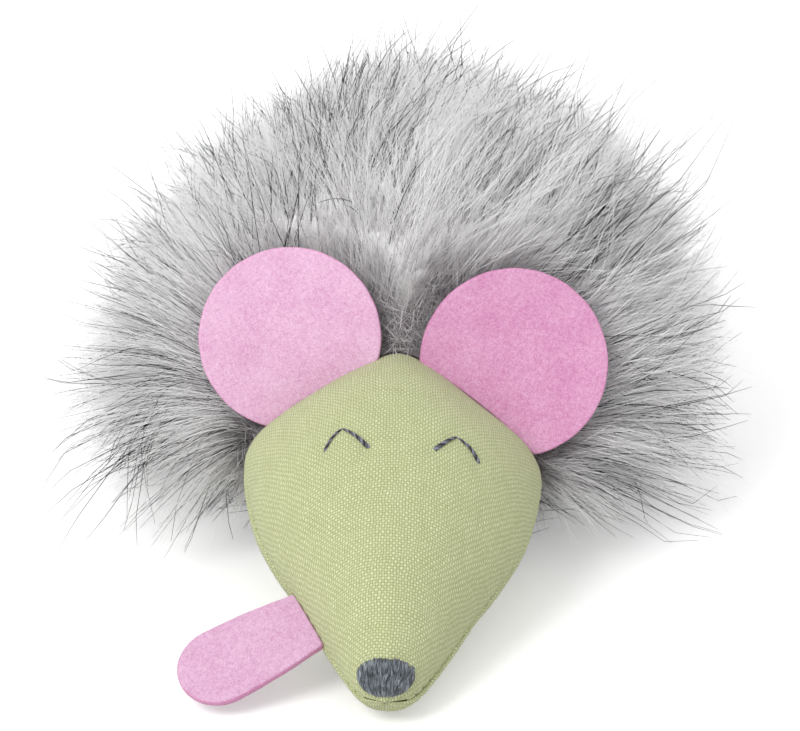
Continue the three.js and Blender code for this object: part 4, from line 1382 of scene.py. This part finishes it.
for ear in ears.values():
    for t in (1.0, 0.75, 0.5, 0.3) * 8:
        x, y, z = ((along_hair(t) - ear["root"]) @ ear[k] for k in ("along", "out", "face"))
        gap = np.hypot(x, y - ear["rise"]) - ear["radius"]
        near = np.clip(1 - (gap - 1.5 * mm) / (7 * mm), 0, 1) ** 2
        over = np.maximum(z + 2.6 * mm + np.maximum(y, 0) * fold_back, 0) * near
        push = -ear["face"] * (over * 0.6)[..., None]
        if t > 0.6:
            reach += push / t**2
        else:
            arch += push
print("hairs reach, mm:", round(float(norm(reach).max()) / mm, 1))

# %% [markdown]
# ## The backing and the wool
# Deep in the pile lies the knitted backing. Over it the underfur is so fine and dense that
# no single hair can be told, so most of its depth is one soft form: wool with lumps like
# tufts, which the loose hairs grow out of. It keeps the light between the hairs bright, as
# in real fur. It starts at the neck seam with no depth, so that there the long hairs show
# down to their dark roots.

# %% The backing
closed_places = np.linspace(0, 1, 60)
for name, from_turn in (("back", -quarter), ("belly", quarter)):
    turns = np.linspace(from_turn, from_turn + 2 * quarter, 73)
    knit = outline(body_at(closed_places)[:, None], turns[None], -0.1 * mm, 0.3 * mm, crown_blunt)
    backing = mesh_piece(f"fur_{name}_backing", knit, grid_faces(*knit.shape[:2]), merge=1e-6)
    thicken(backing, backing_thickness * 0.8, backing_knit)
    dressed(backing, "grey_fur", f"fur_{name}_panel", 0.8)


# %% The wool under the loose hairs
# How far out along the hairs the wool comes, and from what share of the body on
wool_reach, wool_start, wool_lowest = 0.72, 0.16, 0.8 * mm
wool_share = (wool_reach * smooth(comb_places / wool_start))[:, None] + 0 * comb_turns
wool = along_hair(wool_share)
wool[..., 2] = np.maximum(wool[..., 2], wool_lowest)


def finer(grid):
    """The same surface with points halfway between, both ways"""
    for axis in (0, 1):
        grid = np.moveaxis(grid, axis, 0)
        fine = np.empty((2 * len(grid) - 1, *grid.shape[1:]))
        fine[::2], fine[1::2] = grid, (grid[1:] + grid[:-1]) / 2
        grid = np.moveaxis(fine, 0, axis)
    return grid


# %% Tufts in the wool
tuft_height, ear_hollow, soft_edge = 1.5, 2.5 * mm, 12 * mm  # the first is in mm
wool_form = finer(wool)
wool_depth = finer(norm(wool - skin)[..., None])[..., 0]
wool_map = np.stack([steps(wool_form, 1).cumsum(1), steps(wool_form, 0).cumsum(0)], axis=-1)
pattern = np.concatenate([wool_map / [7 * mm, 15 * mm], 0 * wool_map[..., :1]], axis=-1)
tufts = lumps(pattern, 1.0, 4.0) + 0.5 * lumps(pattern, 0.45, 9.0)
above = smooth((165 - np.linspace(-180, 180, wool_form.shape[1]) ** 2 / 180) / 60)
raised = tufts * tuft_height * mm * above
for ear in ears.values():
    x, y = ((wool_form - ear["root"]) @ ear[k] for k in ("along", "out"))
    beside = smooth(1 - (np.hypot(x, y - ear["rise"]) - ear["radius"]) / soft_edge)
    raised = raised * (1 - beside) - ear_hollow * beside
raised *= np.clip(wool_depth / soft_edge, 0, 1)
wool_form = wool_form + normals_of(wool_form) * raised[..., None]
wool_form[..., 2] = np.maximum(wool_form[..., 2], 0.6 * mm)
wool_form[:, 0] = wool_form[:, -1] = (wool_form[:, 0] + wool_form[:, -1]) / 2
wool = wool_form[::2, ::2]

# The back's columns, and the belly's on both sides of where the grid ends
for name, columns in (("back", range(60, 181)), ("belly", [*range(180, 240), *range(61)])):
    rows = [*range(len(wool_form)), -1]
    grid = wool_form[rows][:, columns]
    grid[-1] = wool_form[-1, :-1].mean(0) + np.array([0, 0.6, 0]) * mm
    # How deep the wool is, for its colour: thin wool is painted darker, partly as the fur's dark roots and
    # partly as painted shade
    depth = np.clip((wool_depth[rows][:, columns] - 3 * mm) / (20 * mm), 0, 1)
    piece = mesh_piece(f"fur_{name}_underwool", grid, grid_faces(*grid.shape[:2]),
                       {"Wool": wool_map[rows][:, columns], "depth": depth}, merge=1e-6)
    thicken(piece, 1.5 * mm, under_wool)
    dressed(piece, "grey_fur")

# %% [markdown]
# Now the loose hairs. At the neck they stand on the backing, and further back they grow out
# of the wool. They are soft, fine and pale, gathered into locks that lean their own way.
# The guard hairs are few, dark, longer than the rest and wilder, and they make the fine
# black lines and the ragged outline. They are grown in sections, each a piece of its own,
# because one mesh of all the hairs would be too big to handle.

# %% The pile
rows_there = np.arange(place_count)[:, None]
from_middle = np.abs(np.arange(turn_count) - turn_count // 2)[None]
off_crown = 1 - smooth((7 - rows_there) / 3) * smooth((12 - from_middle) / 3)
off_ears = 1 - smooth((10 - rows_there) / 4) * smooth((14 - from_middle) / 4)
share = wool_share[..., None]
from_wool = {"place": wool, "arch": arch * (1 - share) + reach * share - (wool - skin),
             "reach": reach - (wool - skin)}
from_skin = {"place": skin, "arch": arch, "reach": reach}
pile_lowest, pile_highest, pile_widest = 0.5 * mm, 106 * mm, 88 * mm


def grow_fur(name, surface, rows, columns, count, seed, settings, material):
    """Long hairs leave the crown between the ears to the short curly ones, and the dark
    ones stay off the ears' rims too"""
    cover = (off_ears if material in (guard_hair, guard_tip)
             else off_crown if settings["Longest"] > 0.4 else np.ones_like(off_crown))
    cut = (slice(*rows), slice(*columns))
    part = surface["place"][cut]
    source = mesh_piece("skin", part, grid_faces(*part.shape[:2]), {
        "arch": surface["arch"][cut], "reach": surface["reach"][cut], "cover": cover[cut]})
    across, along = np.diff(part, axis=1)[:-1], np.diff(part, axis=0)[:, :-1]
    area = float(norm(np.cross(across, along)).sum())
    piece = grown(name, source, hair_tree, {
        "Density": count / area, "Seed": seed, "Floor": pile_lowest, "Ceiling": pile_highest,
        "Widest": pile_widest, "Free Root": float(surface is from_wool), "Material": material,
        **settings})
    bpy.data.objects.remove(source)
    dressed(piece, "grey_fur")


# %% Kinds of hair
measures = ("Lock Density", "Points", "Radius", "Tip Share", "Shortest", "Longest", "Stray",
            "Lock Stray", "Gather", "Wave", "Curl Scale", "Sway", "Sway Scale")
long_pile, loose_wool, guards, tips, curly_wool, short_wool = (
    dict(zip(measures, values)) for values in (
        (2.6e4, 5, 0.078 * mm, 0.25, 0.6, 1.05, 0.18, 0.34, 0.6, 8 * mm, 80.0, 0.14, 160.0),
        (2.6e4, 4, 0.085 * mm, 0.2, 0.5, 1.15, 0.4, 0.6, 0.6, 7 * mm, 110.0, 0.2, 160.0),
        (8.0e3, 7, 0.14 * mm, 0.3, 0.75, 1.1, 0.13, 0.2, 0.25, 12 * mm, 30.0, 0.14, 160.0),
        (8.0e3, 5, 0.17 * mm, 0.3, 0.7, 1.2, 0.45, 0.6, 0.25, 12 * mm, 30.0, 0.25, 160.0),
        (9.0e4, 5, 0.075 * mm, 0.5, 0.14, 0.36, 2.2, 1.2, 0.1, 30 * mm, 200.0),
        (9.0e4, 4, 0.07 * mm, 0.4, 0.2, 0.5, 0.45, 0.3, 0.2, 16 * mm, 160.0)))

# %% All the fur
# Sections of 60 degrees from under the belly round over the back, and the hairs in each.
# Then the tufts at the neck, and the dark hairs, with the rows and columns they grow on.
for part, (neck_count, body_count) in enumerate((
        (300, 900), (2800, 6300), (3000, 6900), (3000, 6900), (2800, 6300), (300, 900))):
    columns = (part * 20, (part + 1) * 20 + 1)
    grow_fur(f"neck_fur_{part + 1}", from_skin, (0, 20), columns, neck_count, 20 + part,
             long_pile, neck_hair)
    grow_fur(f"body_fur_{part + 1}", from_wool, (7, place_count), columns, body_count,
             40 + part, loose_wool, wool_hair)
fringe = {**loose_wool, "Shortest": 0.6, "Longest": 1.3}
by_ears = {**short_wool, "Shortest": 0.3, "Longest": 0.6}
crown_tips = {**tips, "Radius": 0.15 * mm, "Longest": 1.15, "Stray": 0.3, "Lock Stray": 0.45,
              "Sway": 0.2}
for row in (
        ("neck_wool", from_skin, (0, 20), (0, turn_count), 4500, 70, short_wool, neck_hair),
        ("fringe_wool", from_wool, (3, 26), (32, 89), 4300, 71, fringe, under_hair),
        ("crown_wool", from_skin, (0, 14), (48, 73), 4200, 72, curly_wool, fuzz_hair),
        ("rim_wool", from_skin, (0, 4), (18, 103), 1300, 73, curly_wool, fuzz_hair),
        ("left_cheek_wool", from_skin, (0, 9), (84, 103), 900, 74, curly_wool, dark_fuzz),
        ("right_cheek_wool", from_skin, (0, 9), (18, 37), 900, 74, curly_wool, dark_fuzz),
        ("ear_wool", from_wool, (3, 13), (42, 79), 1600, 75, by_ears, under_hair),
        ("guard_hairs_1", from_skin, (0, 24), (22, 61), 750, 90, guards, guard_hair),
        ("guard_hairs_2", from_skin, (0, 24), (60, 99), 500, 91, guards, guard_hair),
        ("guard_hairs_3", from_skin, (21, place_count), (10, 61), 300, 92, guards, guard_hair),
        ("guard_hairs_4", from_skin, (21, place_count), (60, 111), 150, 93, guards, guard_hair),
        ("guard_tips_1", from_wool, (3, place_count), (12, 61), 1350, 95, tips, guard_tip),
        ("guard_tips_2", from_wool, (3, place_count), (60, 109), 900, 96, tips, guard_tip),
        ("guard_tips_3", from_wool, (8, 34), (44, 80), 480, 97, crown_tips, guard_tip)):
    grow_fur(*row)

# %% [markdown]
# ## What is inside
# Nobody sees the stuffing until a cat opens the toy, but it's there: loose fibre in head
# and body, and a cotton pouch of catnip. Each starts as a merged copy of the frame's own
# solid, is refined, and gets the lumps that loose fibre and crumbs have.

# %% The filling and the pouch
def inner_piece(name, node, cuts, depth, size, material, slot, fill):
    """Depth and size, in mm, are those of the lumps"""
    form = bmesh.new()
    form.from_mesh(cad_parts[node].data)
    bmesh.ops.remove_doubles(form, verts=form.verts, dist=1e-6)
    bmesh.ops.subdivide_edges(form, edges=form.edges, cuts=cuts, use_grid_fill=True)
    bmesh.ops.triangulate(form, faces=form.faces)
    form.normal_update()
    for vertex in form.verts:
        lump = noise.noise(vertex.co / (size * mm)) * 0.5 + 0.5
        vertex.co -= vertex.normal * (depth * mm) * lump
        if node == "head_filling":
            share = (frame_shift[1] - vertex.co.y) / head_length
            vertex.co.z += tip_lift(np.array([share]))[0, 2]
    piece = smooth_piece(name, form, bpy.data.meshes.new(name))
    piece.data.materials.append(material)
    dressed(piece, slot, node, fill)


for row in (
        ("head_stuffing", "head_filling", 3, 0.5, 6, fibre_filling, "fibre_filling", 0.9),
        ("body_stuffing", "body_filling", 1, 0.3, 6, fibre_filling, "fibre_filling", 0.8),
        ("catnip_bag", "catnip_pouch", 1, 0.08, 4, pouch_cotton, "pouch_cotton", 0.7),
        ("catnip_crumbs", "catnip_herb", 3, 0.25, 1.5, dried_catnip, "dried_catnip", None)):
    inner_piece(*row)

# %% [markdown]
# ## The stage
# The floor is plain and pale. A wide soft lamp at the upper left and a bright sky light
# the toy at a plain level, so that a colour renders about as it is written. The camera
# looks from the front and 27 degrees above, through a long lens.

# %% Floor, light and camera
def seen_by_camera(start):
    """1 where a camera sees the surface, straight or through glass or in a mirror"""
    seen = start.node("ShaderNodeLightPath", out="Is Camera Ray")
    glossy, through = seen.other("Is Glossy Ray"), seen.other("Is Transmission Ray")
    return seen.at_least(glossy).at_least(through)


floor_half, floor_drop = 3.0, 0.0004
corners = [(x * floor_half, y * floor_half, -floor_drop)
           for x, y in ((-1, -1), (1, -1), (1, 1), (-1, 1))]
floor = mesh_piece("floor", corners, [[0, 1, 2, 3]])
floor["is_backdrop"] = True
floor_paint, start = finish("floor_paper", Roughness=1.0, Specular_IOR_Level=0.0)
seen = seen_by_camera(start)
paint(start, seen.mixed(srgb(225, 225, 225), (1.0, 1.0, 1.0, 1.0)))
# A little of the floor glows for the camera alone, so that it is white round the shadow
glow_share, glow_strength = 0.17, 1.64
glow = start.node("ShaderNodeEmission", {}, {"Color": (1, 1, 1, 1), "Strength": glow_strength})
mixed_floor = start.node("ShaderNodeMixShader", {}, {0: seen * glow_share, 1: start, 2: glow})
start.tree.links.new(mixed_floor.socket,
                     start.tree.nodes["Material Output"].inputs["Surface"])
floor.data.materials.append(floor_paint)

# %% The sky
world = bpy.data.worlds.new("studio")
scene.world = world
world.use_nodes = True
sky = world.node_tree.nodes["Background"]
sky.inputs["Color"].default_value = (1, 1, 1, 1)
start = Value(world.node_tree, sky.outputs[0])
start.plug(sky, "Strength", seen_by_camera(start).mixed(0.99, 1.0))


# %% Lamp and camera
def aimed(name, data, place, way):
    """A lamp or a camera at a place, turned a given way"""
    holder = placed(name, data)
    holder.location = place
    holder.rotation_mode = "QUATERNION"
    holder.rotation_quaternion = way.to_track_quat("-Z", "Y")
    return holder


key = bpy.data.lights.new("key_light", "AREA")
key.shape, key.size, key.energy = "DISK", 0.7, 10.4
key_place = Vector((-0.7, -0.75, 1.05))
aimed("key_light", key, key_place, Vector((0, -0.03, 0.04)) - key_place)

lens_elevation, lens_length, distance = math.radians(27), 138.5, 0.8
aim_aside, aim_below = 1.56 * mm, 0.00325  # of the crown of the head
crown = Vector(frame_shift) + Vector((aim_aside, 0, crown_height))
up = Vector((0, math.sin(lens_elevation), math.cos(lens_elevation)))
back = Vector((0, -math.cos(lens_elevation), math.sin(lens_elevation)))
lens = bpy.data.cameras.new("camera")
lens.lens, lens.sensor_width = lens_length, 36
scene.camera = aimed("camera", lens, crown - up * aim_below + back * distance, -back)
scene.view_settings.view_transform = "Standard"
print("lamps:", len(bpy.data.lights), "camera at:", tuple(scene.camera.location))

# %% Measure, and close the lesson
low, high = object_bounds()
print("visual box, mm:", [round(c / mm, 1) for c in (*low, *high)])
total = sum(triangles(p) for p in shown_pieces() if p.type == "MESH")
print("triangles in all:", total)
